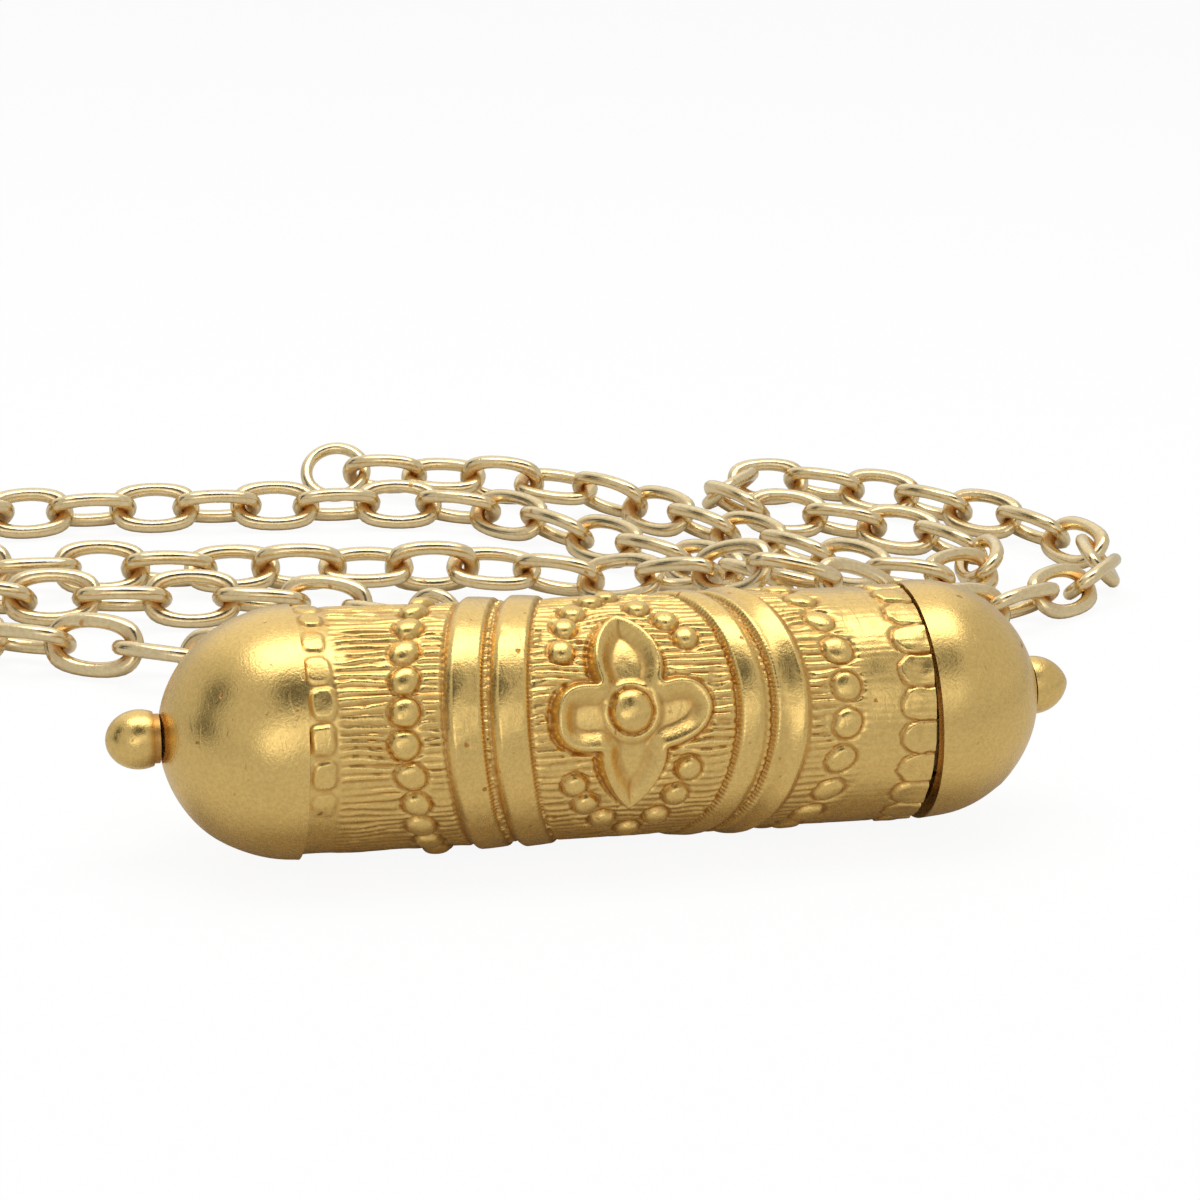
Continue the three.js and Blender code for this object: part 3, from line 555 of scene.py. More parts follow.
def wire_ring(ring, wire, steps=64, sides=16):
    """A ring of round wire about Z."""
    bm = bmesh.new()
    section = bmesh.ops.create_circle(bm, segments=sides, radius=wire)["verts"]
    bmesh.ops.rotate(bm, verts=section, cent=(0, 0, 0), matrix=Matrix.Rotation(math.pi / 2, 3, "X"))
    bmesh.ops.translate(bm, verts=section, vec=(ring, 0, 0))
    bmesh.ops.spin(
        bm, geom=bm.verts[:] + bm.edges[:], cent=(0, 0, 0), axis=(0, 0, 1), angle=2 * math.pi, steps=steps,
        use_merge=True)
    bmesh.ops.recalc_face_normals(bm, faces=bm.faces)
    return bm


def ring_piece(name, ring, wire, place, body, node, slot):
    """A finished ring of round wire, laid in its place."""
    bm = wire_ring(ring, wire)
    bmesh.ops.transform(bm, matrix=place, verts=bm.verts)
    piece(name, bm, body, [node], slot, SHARP_WIRE)


def read_points(mesh, kind):
    """Places or normals of a mesh's points, one a row."""
    values = np.empty(len(mesh.vertices) * 3, np.float32)
    mesh.vertices.foreach_get(kind, values)
    return values.reshape(-1, 3).astype(float)


def move_points(mesh, spots):
    """Puts a mesh's points where the rows say."""
    mesh.vertices.foreach_set("co", spots.astype(np.float32).ravel())
    mesh.update()


def clamp(value, low=0.0, high=1.0):
    """A number kept between two others."""
    return max(low, min(high, value))


def rise(value, low, high):
    """A smooth step from 0 at low to 1 at high."""
    t = np.clip((value - low) / (high - low), 0, 1)
    return t * t * (3 - 2 * t)


def bell(distance, width):
    """1 at no distance, and almost 0 from twice the width on."""
    return np.exp(-(distance / width) ** 2)


def repeats(angle, phase, count):
    """Which of count equal shares round the case an angle lies in, and its angle from that one's middle."""
    step = 2 * math.pi / count
    turned = angle - phase + step / 2
    return np.floor(turned / step).astype(int) % count, turned % step - step / 2


def lattice(seed, along, turn, rows):
    """Smooth seeded noise from -1 to 1. along counts cells, and turn, in whole turns, closes on itself."""
    columns = 64
    grid = np.random.default_rng(seed).uniform(-1, 1, (columns, rows))
    around = turn * rows
    i = np.floor(along).astype(int)
    j = np.floor(around).astype(int)
    s = rise(along - i, 0, 1)
    t = rise(around - j, 0, 1)
    near, far = (
        grid[k % columns, j % rows] * (1 - t) + grid[k % columns, (j + 1) % rows] * t for k in (i, i + 1))
    return near * (1 - s) + far * s


def slant(u, angle):
    """How far the relief has moved along the case at an angle, from its place u at the rosette's side."""
    places = (LEFT_BAND_END, LEFT_RINGS[0][0] - 3.3 * MM, LEFT_RINGS[1][1], RIGHT_RINGS[0][0], SMOOTH_FROM,
              SMOOTH_FROM + 2.4 * MM)
    return np.interp(u, places, (0, LEAN, LEAN, -LEAN, -LEAN, 0)) * (1 - np.cos(angle - ORNAMENT_ANGLE))


def petal_outline():
    """Outline of the four-petal rosette, in millimetres: u along the case and v round it."""
    corners = ((2.05, 1.75), (-2.05, 1.75), (-2.1, -2.3), (2.15, -2.25))
    tips = ((-0.2, 6.15), (-4.75, -0.25), (-0.1, -6.05), (4.95, 0.05))
    swells = (
        ((2.75, 3.6), (1.3, 5.6)), ((-1.6, 5.5), (-2.7, 3.5)),
        ((-3.6, 1.9), (-4.7, 1.5)), ((-4.85, -1.9), (-3.6, -2.4)),
        ((-2.2, -3.5), (-1.1, -5.3)), ((1.0, -5.4), (2.3, -3.4)),
        ((3.7, -1.9), (4.75, -1.3)), ((4.9, 1.3), (3.8, 2.25)),
    )
    ends = []
    for corner, tip in zip(corners, tips):
        ends += [corner, tip]
    points = []
    for k, (first, second) in enumerate(swells):
        a, b, c, d = (np.array(p) for p in (ends[k], first, second, ends[(k + 1) % 8]))
        for t in np.arange(0, 1, 0.1):
            first_half = (1 - t) ** 3 * a + 3 * t * (1 - t) ** 2 * b
            points.append(first_half + 3 * t * t * (1 - t) * c + t ** 3 * d)
    return np.array(points)


def depth_inside(outline, u, v):
    """Distance from the outline, in its units: positive inside it."""
    start = outline
    end = np.roll(outline, -1, axis=0)
    nearest = np.full(u.shape, 1e9)
    inside = np.zeros(u.shape, bool)
    for (ax, ay), (bx, by) in zip(start, end):
        dx, dy = bx - ax, by - ay
        t = np.clip(((u - ax) * dx + (v - ay) * dy) / (dx * dx + dy * dy), 0, 1)
        nearest = np.minimum(nearest, np.hypot(u - ax - t * dx, v - ay - t * dy))
        crosses = (ay > v) != (by > v)
        inside ^= crosses & (u < dx * (v - ay) / (dy if dy else 1e-9) + ax)
    return np.where(inside, nearest, -nearest)


def bead(distance, radius, height):
    """A round bead with a fine moat, over the ground."""
    dome = height * np.clip(1 - (distance / radius) ** 2.5, 0, 1) ** 0.6
    return dome - BEAD_MOAT * bell(distance - 1.1 * radius, 0.12 * MM)


def bead_row(height, u, angle, x, count, phase, radius, top):
    """A row of uneven beads round the case."""
    index, local = repeats(angle, phase, count)
    size, shift, tall = np.random.default_rng(count).uniform(-1, 1, (3, count))
    edge = 0.05 * lattice(61, u / (0.7 * MM), angle / (2 * math.pi), 110)
    distance = np.hypot(u - x - 0.1 * MM * shift[index], local * TUBE_RADIUS)
    distance = distance * (1 + 0.07 * size[index] + edge)
    row = bead(distance, radius, top * (1 + 0.18 * tall[index]))
    return height * rise(distance, radius, radius + 0.3 * MM) + row


def hatching(x, turn, sizes):
    """Uneven sharp ridges along the case, broken here and there."""
    drifted = turn + 0.0045 * lattice(5, x / (2.3 * MM), turn, 34)
    ridge = np.abs(np.sin(drifted * math.pi * HATCH_LINES)) ** 0.7
    tall = 0.68 + 0.4 * lattice(11, x / (1.9 * MM) + 3, drifted, HATCH_LINES)
    broken = 1 - 0.65 * rise(lattice(12, x / (1.1 * MM) + 9, drifted, HATCH_LINES), 0.2, 0.65)
    return sizes.hatch_rise * (ridge * tall * broken - 0.35)


def relief(u, angle, sizes):
    """Height of the cast surface over the tube, for a place u at the rosette's side and an angle."""
    turn = angle / (2 * math.pi)
    x = u + slant(u, angle)
    v = ((angle - ORNAMENT_ANGLE + math.pi) % (2 * math.pi) - math.pi) * TUBE_RADIUS
    smooth = rise(u, SMOOTH_FROM - 0.6 * MM, SMOOTH_FROM + 0.8 * MM)
    fade = 0.35 * rise(-v, 1.0 * MM, 6 * MM)
    height = hatching(x, turn, sizes) * ((1 - 0.9 * smooth) * (1 - fade))

    for start, end in LEFT_RINGS:
        height = ring_over(height, u, turn, start, end, sizes.ring_rise, 1)
    narrow, broad = RIGHT_RINGS
    height = ring_over(height, u, turn, *narrow, sizes.ring_rise * 0.8, -1)
    start, end = broad
    hollow = np.sin(np.clip((u - start) / (end - 0.55 * MM - start), 0, 1) * math.pi) * 0.16 * MM
    height = ring_over(height, u, turn, start, end, sizes.ring_rise, -1) - hollow

    left, right = math.radians(12), math.radians(11.75)
    height = bead_row(height, u, angle, LEFT_BEADS_X, 24, left, 0.86 * MM, sizes.bead_rise)
    height = bead_row(height, u, angle, RIGHT_BEADS_X, 20, right, 0.84 * MM, sizes.bead_rise * 0.62)
    height = bands_over(height, u, angle, turn, sizes)
    height = flower_over(height, x, v, angle, sizes)
    height += 0.035 * MM * lattice(21, x / (3.1 * MM), turn, 13)
    height += 0.012 * MM * lattice(22, x / (0.5 * MM), turn, 88)
    return height


def ring_over(height, u, turn, start, end, top, side):
    """A broad raised ring with a rounded shoulder, and milled grain along its groove."""
    shoulder, tail = (start, end) if side > 0 else (end, start)
    inward = (u - shoulder) * side
    width = end - start
    profile = rise(inward, -0.05 * MM, 0.5 * MM)
    profile = profile * (1 - rise(inward, width - 0.3 * MM, width + 0.05 * MM))
    slope = 1 - 0.3 * rise(inward, 0.7 * MM, width)
    milled = bell(u - tail, 0.2 * MM) * np.abs(np.sin(turn * math.pi * MILLING_LINES)) * 0.14 * MM
    foot = bell(u - start + 0.06 * MM, 0.13 * MM) * 0.13 * MM
    inside = rise(inward, -0.15 * MM, 0.1 * MM) * (1 - rise(inward, width, width + 0.2 * MM))
    return height * (1 - inside) + profile * slope * top - milled - foot


def bands_over(height, u, angle, turn, sizes):
    """The beaded band at the dome, worn away below, and the scalloped band at the mouth."""
    index, local = repeats(angle, 0, END_LOBES)
    size, shift, tall = np.random.default_rng(71).uniform(-1, 1, (3, END_LOBES))
    middle = (JOINT_X + LEFT_BAND_END) / 2
    along = (u - middle - 0.12 * MM * shift[index]) / (0.72 * MM)
    wide = local * TUBE_RADIUS / (0.9 * MM)
    blocky = (np.abs(along) ** 3 + np.abs(wide) ** 3) ** (1 / 3) * (1 - 0.12 * size[index])
    blocky *= 1 + 0.1 * lattice(72, u / (0.6 * MM), turn, 100)
    worn = rise(np.sin(angle), -0.42, -0.24)
    pad = sizes.scallop_rise * (1 + 0.35 * tall[index]) * (1 - rise(blocky, 0.72, 1.08)) * worn
    zone = 1 - rise(u, LEFT_BAND_END, LEFT_BAND_END + 0.4 * MM)
    height = height * (1 - zone) + zone * pad
    local = repeats(angle, math.radians(3), END_LOBES)[1]
    lobe = np.hypot(np.minimum(u - SCALLOPS_X, 0), local * TUBE_RADIUS)
    lobe *= 1 + 0.09 * lattice(32, u / (0.5 * MM), turn, 120)
    inside = 1 - rise(lobe, 0.85 * MM, 1.05 * MM)
    moat = BEAD_MOAT * bell(lobe - 1.05 * MM, 0.13 * MM)
    zone = rise(u, SCALLOPS_X - 1.5 * MM, SCALLOPS_X - 1.1 * MM)
    ragged = 0.7 + 0.5 * lattice(31, u / (0.9 * MM), turn, 50)
    return height + zone * (inside * sizes.scallop_rise * ragged - moat)


def flower_over(height, x, v, angle, sizes):
    """The rosette with its dished petals and boss, and the wreath of beads round it."""
    close = (np.abs(x - ROSETTE_X) < ROSETTE_HALF) & (np.abs(v) < ROSETTE_REACH)
    depth = np.full(x.shape, -9.0)
    depth[close] = depth_inside(petal_outline(), (x[close] - ROSETTE_X) / MM, v[close] / MM)
    for bx, degrees in WREATH:
        away = np.hypot(x - bx * MM, (angle - math.radians(degrees)) * TUBE_RADIUS)
        clear = rise(away, 0.76 * MM, 1.0 * MM)
        height = height * clear + bead(away, WREATH_BEAD, sizes.bead_rise)
    border = rise(depth, -0.08, 0.34)
    dish = rise(depth, 0.36, 1.45)
    petal = sizes.petal_rise - (sizes.petal_rise - DISH_HEIGHT) * dish
    height = height * (1 - border) + petal * border - 0.12 * MM * bell(depth + 0.12, 0.13)
    centre = np.hypot(x - ROSETTE_X, v)
    away = rise(centre, 1.3 * MM, 1.9 * MM)
    boss = BOSS_HEIGHT * np.sqrt(np.clip(1 - (centre / BOSS_RADIUS) ** 2, 0, 1))
    collar = 0.12 * MM * bell(centre - 1.6 * MM, 0.2 * MM)
    rim = 0.06 * MM * bell(centre - 1.3 * MM, 0.1 * MM)
    return height * away + (1 - away) * BOSS_GROUND + boss + collar - rim


def dress_relief(mesh, sizes):
    """Lifts the outer skin of a barrel zone to its relief, and marks its low spots, where shade is painted.
    """
    spots = read_points(mesh, "co")
    u = spots[:, 0]
    radius = np.hypot(spots[:, 1], spots[:, 2])
    angle = np.arctan2(spots[:, 2], -spots[:, 1])
    skin = radius > (TUBE_RADIUS + NECK_RADIUS) / 2
    place, facing = u[skin], angle[skin]
    height = relief(place, facing, sizes)
    around = [
        relief(place + RECESS_REACH * math.cos(a), facing + RECESS_REACH * math.sin(a) / TUBE_RADIUS, sizes)
        for a in np.arange(0, 2 * math.pi, math.pi / 2)]
    # How far a spot lies below its surroundings sets how much shade is painted there
    low = np.zeros(len(u))
    low[skin] = np.clip((np.mean(around, axis=0) - height) / RECESS_DEPTH, 0, 1)
    radius[skin] += height
    shifted = u + slant(u, angle)
    move_points(mesh, np.stack(
        (shifted, -radius * np.cos(angle), radius * np.sin(angle) + AXIS_Z), axis=1))
    mark = mesh.attributes.new("recess", "FLOAT", "POINT")
    mark.data.foreach_set("value", low.astype(np.float32))
    mesh.update()


def lumps(mesh, seed):
    """Uneven hand finishing on a turned form, all of it inwards."""
    spots = read_points(mesh, "co")
    turn = np.arctan2(spots[:, 2] - AXIS_Z, -spots[:, 1]) / (2 * math.pi)
    push = LUMPS * (lattice(seed, spots[:, 0] / (2.4 * MM), turn, 9) - 1)
    move_points(mesh, spots + read_points(mesh, "normal") * push[:, None])


def pad_place(base, length, radius):
    """Where along the case a dome's curve ends in its flat pad."""
    return base + length * math.cos(math.asin(PAD_RADIUS / radius))


def dome_curve(base, length, radius, pad, steps):
    """(x, radius) points of a quarter ellipse from a flat pad at the tip to the full radius."""
    start = math.asin(pad / radius)
    angles = [start + (math.pi / 2 - start) * i / steps for i in range(steps + 1)]
    return [(base + length * math.cos(a), radius * math.sin(a)) for a in angles]


def cap_place():
    """Where the crooked cap sits, from its own turning frame."""
    contact = across(CAP_CONTACT_ANGLE, CAP_RADIUS)
    axis = Vector((1, 0, 0)).cross(across(CAP_CONTACT_ANGLE))
    seat = Vector((MOUTH_X + CAP_GAP, contact.y, contact.z + CAP_RISE + AXIS_Z))
    return Matrix.Translation(seat) @ Matrix.Rotation(CAP_LEAN, 4, axis) @ Matrix.Translation(-contact)


class AMULET_OT_barrel(bpy.types.Operator):
    """Cast barrel with its rings, rosette, beads and hatching"""

    bl_idname = "amulet.barrel"
    bl_label = "Barrel"

    def execute(self, context):
        sizes = context.scene.amulet_relief
        left_groove = (LEFT_RINGS[0][1] + LEFT_RINGS[1][0]) / 2
        right_groove = (RIGHT_RINGS[0][1] + RIGHT_RINGS[1][0]) / 2
        neck_end = JOINT_X - NECK_LENGTH
        zones = (
            ("barrel_left", JOINT_X, left_groove),
            ("barrel_middle", left_groove, right_groove),
            ("barrel_right", right_groove, MOUTH_X),
        )
        for name, first, last in zones:
            columns = round((last - first) / GRID_STEP)
            profile = [(first + (last - first) * i / columns, TUBE_RADIUS) for i in range(columns + 1)]
            inner = [(last, BORE_RADIUS), ((first + last) / 2, BORE_RADIUS)]
            if first == JOINT_X:
                profile = [(neck_end, NECK_RADIUS), (JOINT_X, NECK_RADIUS)] + profile
                inner.append((neck_end, BORE_RADIUS))
            else:
                inner.append((first, BORE_RADIUS))
            bm = spun(profile + inner, TURN_STEPS, True)
            mesh = piece(name, bm, "case", ["case_barrel"], "satin_gold")
            dress_relief(mesh, sizes)
            mesh.set_sharp_from_angle(angle=math.radians(SHARP))
        return {"FINISHED"}


class AMULET_OT_domes(bpy.types.Operator):
    """Fixed dome and pull-off cap, both hollow"""

    bl_idname = "amulet.domes"
    bl_label = "Domes"

    def execute(self, context):
        outer = dome_curve(0, DOME_LENGTH, DOME_RADIUS, PAD_RADIUS, DOME_ROWS)
        skirt = NECK_LENGTH + NECK_CLEARANCE
        skirt_radius = NECK_RADIUS + NECK_CLEARANCE
        depth = DOME_LENGTH - skirt - DOME_WALL
        inner = dome_curve(skirt, depth, skirt_radius - DOME_WALL / 2, 0, HOLLOW_ROWS)
        left = JOINT_X - SEAT_GAP
        profile = [(left - outer[0][0], 0)] + [(left - x, r) for x, r in outer]
        profile += [(left, skirt_radius), (left - skirt, skirt_radius)]
        profile += [(left - x, r) for x, r in reversed(inner)]
        bm = spun(profile, DOME_STEPS)
        bmesh.ops.translate(bm, verts=bm.verts, vec=(0, 0, AXIS_Z))
        lumps(piece("dome_fixed", bm, "case", ["fixed_dome"], "satin_gold", SHARP_TURNED), 41)

        bore = COLLAR_RADIUS + CAP_ROOM
        outer = dome_curve(CAP_SKIRT, CAP_LENGTH - CAP_SKIRT, CAP_RADIUS, PAD_RADIUS, DOME_ROWS)
        straight = COLLAR_OUTSIDE + CAP_GAP
        inner = dome_curve(straight, CAP_LENGTH - straight - CAP_WALL, bore, 0, HOLLOW_ROWS)
        profile = [(outer[0][0], 0)] + outer + [(0, CAP_RADIUS), (0, bore)] + list(reversed(inner))
        bm = spun(profile, DOME_STEPS)
        bmesh.ops.transform(bm, matrix=cap_place(), verts=bm.verts)
        lumps(piece("cap_pulled", bm, "cap", ["pull_off_cap"], "satin_gold", SHARP_TURNED), 42)
        return {"FINISHED"}


class AMULET_OT_finials(bpy.types.Operator):
    """Ball knob on the fixed dome and rounded cone on the cap"""

    bl_idname = "amulet.finials"
    bl_label = "Finials"

    def execute(self, context):
        base = JOINT_X - SEAT_GAP - pad_place(0, DOME_LENGTH, DOME_RADIUS)
        start = math.asin(KNOB_CUT)
        half = KNOB_STRETCH * KNOB_RADIUS
        centre = base - KNOB_NECK_LENGTH - half * math.cos(start)
        profile = [(base, 0), (base, KNOB_NECK_RADIUS), (base - KNOB_NECK_LENGTH, KNOB_NECK_RADIUS)]
        for i in range(FINIAL_ROWS + 1):
            a = start + (math.pi - start) * i / FINIAL_ROWS
            profile.append((centre + half * math.cos(a), KNOB_RADIUS * math.sin(a)))
        bm = spun(profile, FINIAL_STEPS)
        # Painted shadow on the ball near its neck, where the dome shades it
        marks = bm.verts.layers.float.new("recess")
        for vertex in bm.verts:
            vertex[marks] = float(rise(vertex.co.x, base - KNOB_SHADOW, base - KNOB_NECK_LENGTH))
        bmesh.ops.translate(bm, verts=bm.verts, vec=(0, 0, AXIS_Z))
        piece("knob_ball", bm, "case", ["ball_finial"], "satin_gold", SHARP_FINIAL)

        base = pad_place(CAP_SKIRT, CAP_LENGTH - CAP_SKIRT, CAP_RADIUS)
        profile = [(base, 0)]
        for i in range(FINIAL_ROWS + 1):
            t = i / FINIAL_ROWS
            radius = CONE_RADIUS * (1 - t ** CONE_ROUNDING) ** CONE_BLUNTNESS
            profile.append((base + CONE_LENGTH * t, radius))
        bm = spun(profile, FINIAL_STEPS)
        bmesh.ops.transform(bm, matrix=cap_place(), verts=bm.verts)
        piece("knob_cone", bm, "cap", ["cone_finial"], "satin_gold", SHARP_FINIAL)
        return {"FINISHED"}


class AMULET_OT_collar(bpy.types.Operator):
    """Split spring collar with its slots"""

    bl_idname = "amulet.collar"
    bl_label = "Collar"

    def execute(self, context):
        start = MOUTH_X - COLLAR_INSIDE
        end = MOUTH_X + COLLAR_OUTSIDE
        slot_start = end - COLLAR_SLOT_DEPTH
        bm = spun([(start, COLLAR_RADIUS), (slot_start, COLLAR_RADIUS), (end, COLLAR_RADIUS)], COLLAR_STEPS)
        step = 360 / COLLAR_SLOTS
        opened = []
        for face in bm.faces:
            middle = face.calc_center_median()
            angle = math.degrees(math.atan2(middle.z, -middle.y))
            from_slot = abs((angle - COLLAR_SLOT_ANGLE + step / 2) % step - step / 2)
            from_split = abs((angle - COLLAR_SPLIT_ANGLE + 180) % 360 - 180)
            slotted = from_slot < COLLAR_SLOT_HALF and middle.x > slot_start
            if from_split < COLLAR_SPLIT_HALF or slotted:
                opened.append(face)
        bmesh.ops.delete(bm, geom=opened, context="FACES")
        bmesh.ops.recalc_face_normals(bm, faces=bm.faces)
        bmesh.ops.solidify(bm, geom=bm.faces[:], thickness=COLLAR_WALL)
        bmesh.ops.recalc_face_normals(bm, faces=bm.faces)
        bmesh.ops.translate(bm, verts=bm.verts, vec=(0, 0, AXIS_Z))
        piece("collar_split", bm, "collar", ["spring_collar"], "collar_brass", SHARP_TURNED)
        return {"FINISHED"}


class Route:
    """A centripetal curve through the route's points, with evenly spaced samples and its twist."""

    def __init__(self, points):
        self.points = [
            Vector((x * MM, y * MM, FLOOR_Z + rest_height(twist) + up * MM)) for x, y, up, twist in points]
        self.twists = [point[3] for point in points]
        self.lengths = [0.0]
        before = self.at(0)
        for i in range(1, ARC_STEPS + 1):
            here = self.at(i / ARC_STEPS)
            self.lengths.append(self.lengths[-1] + (here - before).length)
            before = here
        self.last = SAMPLES_A_POINT * len(points)
        self.samples = []
        for i in range(self.last + 1):
            sample = self.at(self.share(i / self.last))
            sample.z = max(sample.z, FLOOR_Z + rest_height(self.twist(i)))
            self.samples.append(sample)

    def at(self, t):
        """The curve's point at a share t of its stretches."""
        points = self.points
        place = (len(points) - 1) * t
        k = min(int(place), len(points) - 2)
        s = place - k
        b, c = points[k], points[k + 1]
        a = points[k - 1] if k else b * 2 - c
        d = points[k + 2] if k + 2 < len(points) else c * 2 - b
        ab, bc, cd = ((q - p).length ** 0.5 for p, q in ((a, b), (b, c), (c, d)))
        leave = ((b - a) / ab - (c - a) / (ab + bc) + (c - b) / bc) * bc
        reach = ((c - b) / bc - (d - b) / (bc + cd) + (d - c) / cd) * bc
        return (b + leave * s + (c * 3 - b * 3 - leave * 2 - reach) * s ** 2
                + (b * 2 - c * 2 + leave + reach) * s ** 3)

    def share(self, part):
        """The share t at which the curve has run a part of its length."""
        goal = part * self.lengths[-1]
        k = 0
        while k < ARC_STEPS - 1 and self.lengths[k + 1] < goal:
            k += 1
        return (k + (goal - self.lengths[k]) / (self.lengths[k + 1] - self.lengths[k])) / ARC_STEPS

    def twist(self, index):
        """The twist in degrees at one of the samples."""
        place = self.share(index / self.last) * (len(self.points) - 1)
        k = min(int(place), len(self.points) - 2)
        return self.twists[k] + (self.twists[k + 1] - self.twists[k]) * (place - k)


def lay_links(points, links):
    """For each link along a route, the number of its node, its place and its direction."""
    route = Route(points)
    samples = route.samples
    here = samples[0]
    index = 0
    laid = []
    for count in range(links):
        opens = count % LINKS_IN_NODE == 0
        closes = (count + 1) % LINKS_IN_NODE == 0 or count == links - 1
        back = INNER_HALF + (-PLAY if opens else BEARING) / 2
        span = back + INNER_HALF + (-PLAY if closes else BEARING) / 2
        while (samples[index] - here).length < span:
            index += 1
        before = samples[index - 1]
        t = (span - (before - here).length) / (before - samples[index]).length
        following = before.lerp(samples[index], t)
        along = (following - here).normalized()
        level = Vector((0, 0, 1)).cross(along).normalized()
        up = along.cross(level)
        lean = math.radians((-LINK_ROLL if count % 2 else LINK_ROLL) + route.twist(index))
        wide = level * math.cos(lean) + up * math.sin(lean)
        middle = here + along * back
        drop = HALF_WIDTH * math.hypot(wide.z, along.z) + (HALF_LINE - HALF_WIDTH) * abs(along.z)
        middle.z = max(middle.z, FLOOR_Z + drop + LINK_CORNER + REST_GAP)
        turn = Matrix((along, wide, along.cross(wide))).transposed().to_4x4()
        laid.append((count // LINKS_IN_NODE + 1, Matrix.Translation(middle) @ turn, along))
        here = following
    return laid


def link_mesh():
    """One oval link along X, lying flat: a ring of round wire pulled apart at its middle, with shade
    painted at its ends.
    """
    bm = wire_ring(HALF_WIDTH, SLIMNESS * LINK_WIRE, LINK_STEPS, LINK_SIDES)
    bmesh.ops.rotate(
        bm, verts=bm.verts, cent=(0, 0, 0), matrix=Matrix.Rotation(math.pi / LINK_STEPS, 3, "Z"))
    # Painted shade at the link's ends, most on the inside, where the next links hold it
    marks = bm.verts.layers.float.new("recess")
    for vertex in bm.verts:
        end = abs(vertex.co.x) / HALF_WIDTH
        inner = 1 - Vector((vertex.co.x, vertex.co.y)).length / HALF_WIDTH
        vertex[marks] = clamp(2.2 * (end - 0.4)) * clamp(0.45 + 3 * inner)
        pulled = math.sin(math.pi / 2 * clamp(vertex.co.x / HALF_WIDTH, -1))
        vertex.co.x += (HALF_LINE - HALF_WIDTH) * pulled
    mesh = bpy.data.meshes.new("link")
    bm.to_mesh(mesh)
    bm.free()
    return mesh


class AMULET_OT_chain(bpy.types.Operator):
    """Oval links along both routes"""

    bl_idname = "amulet.chain"
    bl_label = "Chain"

    def execute(self, context):
        link = link_mesh()
        for prefix, points, links in (
                ("front_chain", FRONT_ROUTE, FRONT_LINKS), ("long_chain", LONG_ROUTE, LONG_LINKS)):
            stretches = {}
            for number, place, _ in lay_links(points, links):
                if number not in stretches:
                    stretches[number] = bmesh.new()
                bm = stretches[number]
                before = len(bm.verts)
                bm.from_mesh(link)
                bm.verts.ensure_lookup_table()
                bmesh.ops.transform(bm, matrix=place, verts=bm.verts[before:])
            for number, bm in stretches.items():
                node = f"{prefix}_{number:02d}"
                body = frame["nodes"][node]["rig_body"]
                piece(f"links_{node}", bm, body, [node], "pale_gold", SHARP_WIRE)
        bpy.data.meshes.remove(link)
        return {"FINISHED"}


class AMULET_OT_rings(bpy.types.Operator):
    """Bails on the case, jump rings, the end ring and the clasp's ring"""

    bl_idname = "amulet.rings"
    bl_label = "Rings"

    def execute(self, context):
        for side, x in (("left", -BAIL_X), ("right", BAIL_X)):
            eye = Matrix.Translation((x, BAIL_EYE.y, BAIL_EYE.z))
            upright = eye @ Matrix.Rotation(math.pi / 2, 4, "Y")
            ring_piece(f"bail_{side}", BAIL_RING, BAIL_WIRE, upright, "case", f"{side}_bail", "satin_gold")
            hung = eye @ Matrix.Rotation(-JUMP_DROP, 4, "X") @ Matrix.Translation((0, JUMP_RING, 0))
            node = f"{side}_jump_ring"
            ring_piece(f"jump_ring_{side}", JUMP_RING, JUMP_WIRE, hung, "chain", node, "pale_gold")

        link, along = lay_links(LONG_ROUTE, LONG_LINKS)[-1][1:]
        hold = link.translation + along * (INNER_HALF - END_WIRE - THREAD_GAP)
        lean = math.asin((hold.z - FLOOR_Z - REST_GAP - END_WIRE) / END_RING)
        laid = (self.heading(hold, along) @ Matrix.Rotation(-lean, 4, "X")
                @ Matrix.Translation((END_RING, 0, 0)))
        ring_piece("ring_at_end", END_RING, SLIMNESS * END_WIRE, laid, "ring", "end_ring", "pale_gold")

        link, along = lay_links(FRONT_ROUTE, FRONT_LINKS)[-1][1:]
        hold = link.translation + along * (INNER_HALF - CLASP_RING_WIRE - THREAD_GAP)
        hold.z = FLOOR_Z + REST_GAP + CLASP_RING + CLASP_RING_WIRE
        laid = (self.heading(hold, along) @ Matrix.Translation((CLASP_RING, 0, 0))
                @ Matrix.Rotation(math.pi / 2, 4, "X"))
        node = "clasp_jump_ring"
        ring_piece("ring_of_clasp", CLASP_RING, CLASP_RING_WIRE, laid, "front_chain_end", node, "pale_gold")
        return {"FINISHED"}

    def heading(self, hold, along):
        """A place with its X turned level towards a direction."""
        return Matrix.Translation(hold) @ Matrix.Rotation(math.atan2(along.y, along.x), 4, "Z")


class AMULET_OT_inner(bpy.types.Operator):
    """Clasp, paper and thread keep their solids, softened and given their finish"""

    bl_idname = "amulet.inner"
    bl_label = "Clasp and scroll"

    def execute(self, context):
        for name, slot, soft in KEPT_SOLIDS:
            node = frame["nodes"][name]
            weld = node.modifiers.new("Weld", "WELD")
            weld.merge_threshold = WELD_REACH
            bevel = node.modifiers.new("Soft edges", "BEVEL")
            bevel.width = soft
            bevel.segments = 3
            bevel.limit_method = "ANGLE"
            bevel.angle_limit = math.radians(40)
            node.data.materials.clear()
            node.data.materials.append(finish_named(slot))
        return {"FINISHED"}


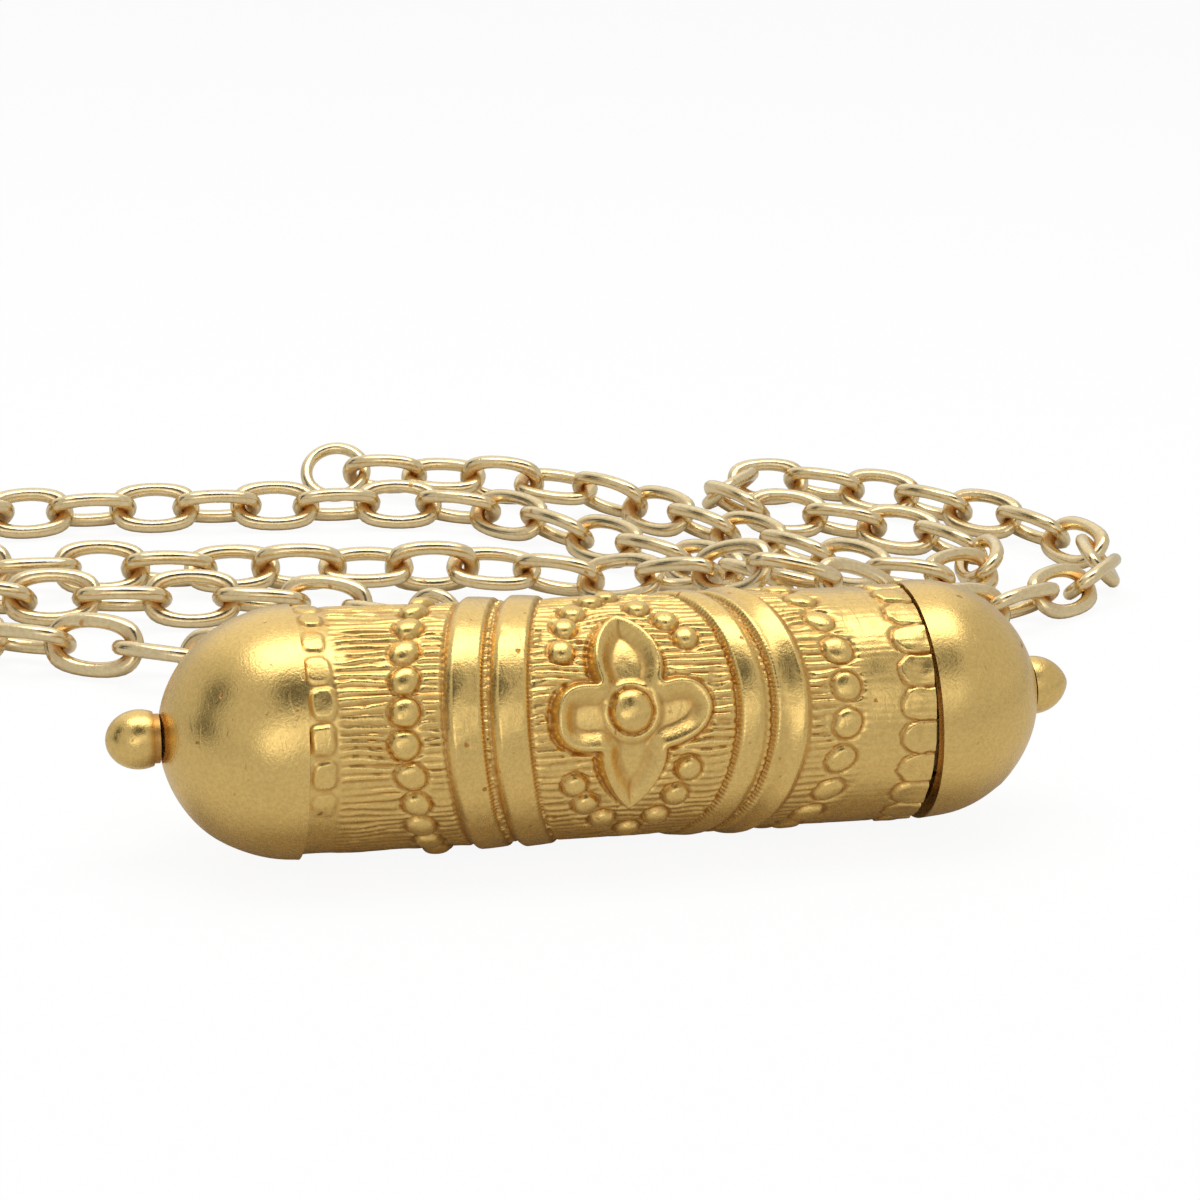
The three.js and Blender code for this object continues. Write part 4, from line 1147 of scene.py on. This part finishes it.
class AMULET_OT_stage(bpy.types.Operator):
    """Camera, table, lamp and room"""

    bl_idname = "amulet.stage"
    bl_label = "Stage"

    def execute(self, context):
        studio = context.scene.amulet_studio
        lens = bpy.data.cameras.new("camera")
        lens.lens = studio.lens
        lens.sensor_width = 36
        lens.clip_start = 0.005
        camera = bpy.data.objects.new("camera", lens)
        turn = Matrix((CAMERA_RIGHT, CAMERA_BACK.cross(CAMERA_RIGHT), CAMERA_BACK)).transposed()
        camera.matrix_world = Matrix.Translation(CAMERA_EYE) @ turn.to_4x4()
        context.scene.collection.objects.link(camera)
        context.scene.camera = camera

        bm = bmesh.new()
        bmesh.ops.create_grid(bm, x_segments=1, y_segments=1, size=TABLE_HALF)
        bmesh.ops.translate(bm, verts=bm.verts, vec=(0, 0, FLOOR_Z))
        table, mesh = placed("table", bm)
        mesh.materials.append(self.table_finish(studio))

        self.lamp("overhead", studio.overhead, OVERHEAD_PLACE, OVERHEAD_TARGET, OVERHEAD_SIZE)
        self.room(context, studio)
        context.scene.view_settings.view_transform = "Standard"
        return {"FINISHED"}

    def lamp(self, name, power, place, target, size):
        """A rectangular softbox that faces a point."""
        light = bpy.data.lights.new(name, "AREA")
        light.shape = "RECTANGLE"
        light.size, light.size_y = size
        light.energy = power
        lamp = bpy.data.objects.new(name, light)
        lamp.location = place
        lamp.rotation_euler = (Vector(place) - Vector(target)).to_track_quat("Z", "Y").to_euler()
        bpy.context.scene.collection.objects.link(lamp)

    def table_finish(self, studio):
        """Matt white, which the camera sees bright and which keeps the shadow."""
        material, shader = blank("table")
        seen = shader.node("ShaderNodeLightPath", output=0) * TABLE_SEEN
        cloth = shader.node("ShaderNodeBsdfDiffuse", {}, {"Color": rgba(studio.table)})
        glow = shader.node("ShaderNodeEmission", {}, {"Color": (1, 1, 1, 1), "Strength": TABLE_GLOW})
        mixed = shader.node("ShaderNodeMixShader", {}, {0: seen, 1: cloth, 2: glow})
        shader.node("ShaderNodeOutputMaterial", {}, {"Surface": mixed})
        return material

    def room(self, context, studio):
        """White to the camera, and to the metal a pale room with darker and brighter parts."""
        world = bpy.data.worlds.new("room")
        world.use_nodes = True
        shader = Shader(world.node_tree)
        seen = shader.node("ShaderNodeLightPath", output=0)
        mirrored = shader.node("ShaderNodeLightPath", output=3)
        towards = shader.node("ShaderNodeTexCoord", output=0)
        parts = [self.near(shader, towards, *part) for part in ROOM_PARTS]
        varied = math.prod(parts[1:], start=parts[0])
        bright = seen + mirrored * varied * ROOM_TONE
        rest = (1 - seen) * (1 - mirrored) * studio.ambient
        sky = shader.node("ShaderNodeBackground", {}, {"Color": (1, 1, 1, 1), "Strength": bright + rest})
        shader.node("ShaderNodeOutputWorld", {}, {"Surface": sky})
        context.scene.world = world

    def near(self, shader, towards, direction, outer, inner, change):
        """1 in most directions, and darker or brighter by a change round one of them."""
        aim = Vector(direction).normalized()
        close = shader.node("ShaderNodeVectorMath", {"operation": "DOT_PRODUCT"}, {0: towards, 1: aim}, 1)
        return 1 + shader.ramp(close, (outer, 0.0), (inner, 1.0)) * change


class AMULET_PT_panel(bpy.types.Panel):
    """Lists the pieces and their settings"""

    bl_idname = "AMULET_PT_panel"
    bl_label = "Amulet necklace"
    bl_space_type = "VIEW_3D"
    bl_region_type = "UI"
    bl_category = "Amulet"

    def draw(self, context):
        for operator in OPERATORS:
            self.layout.operator(operator.bl_idname)
        for group in ("amulet_relief", "amulet_finish", "amulet_studio"):
            settings = getattr(context.scene, group)
            box = self.layout.box()
            for name in settings.__annotations__:
                box.prop(settings, name)


GROUPS = {"amulet_relief": AmuletRelief, "amulet_finish": AmuletFinish, "amulet_studio": AmuletStudio}
OPERATORS = (
    AMULET_OT_stage, AMULET_OT_barrel, AMULET_OT_domes, AMULET_OT_finials, AMULET_OT_collar,
    AMULET_OT_chain, AMULET_OT_rings, AMULET_OT_inner,
)


def register():
    """Registers the settings, the operators and the panel."""
    for kind in (*GROUPS.values(), *OPERATORS, AMULET_PT_panel):
        bpy.utils.register_class(kind)
    for name, kind in GROUPS.items():
        setattr(bpy.types.Scene, name, bpy.props.PointerProperty(type=kind))


def unregister():
    """Takes them away again."""
    for name in GROUPS:
        delattr(bpy.types.Scene, name)
    for kind in (*GROUPS.values(), *OPERATORS, AMULET_PT_panel):
        bpy.utils.unregister_class(kind)


def main():
    register()
    for operator in OPERATORS:
        group, name = operator.bl_idname.split(".")
        getattr(getattr(bpy.ops, group), name)()
    bpy.context.view_layer.update()


if __name__ == "__main__":
    main()
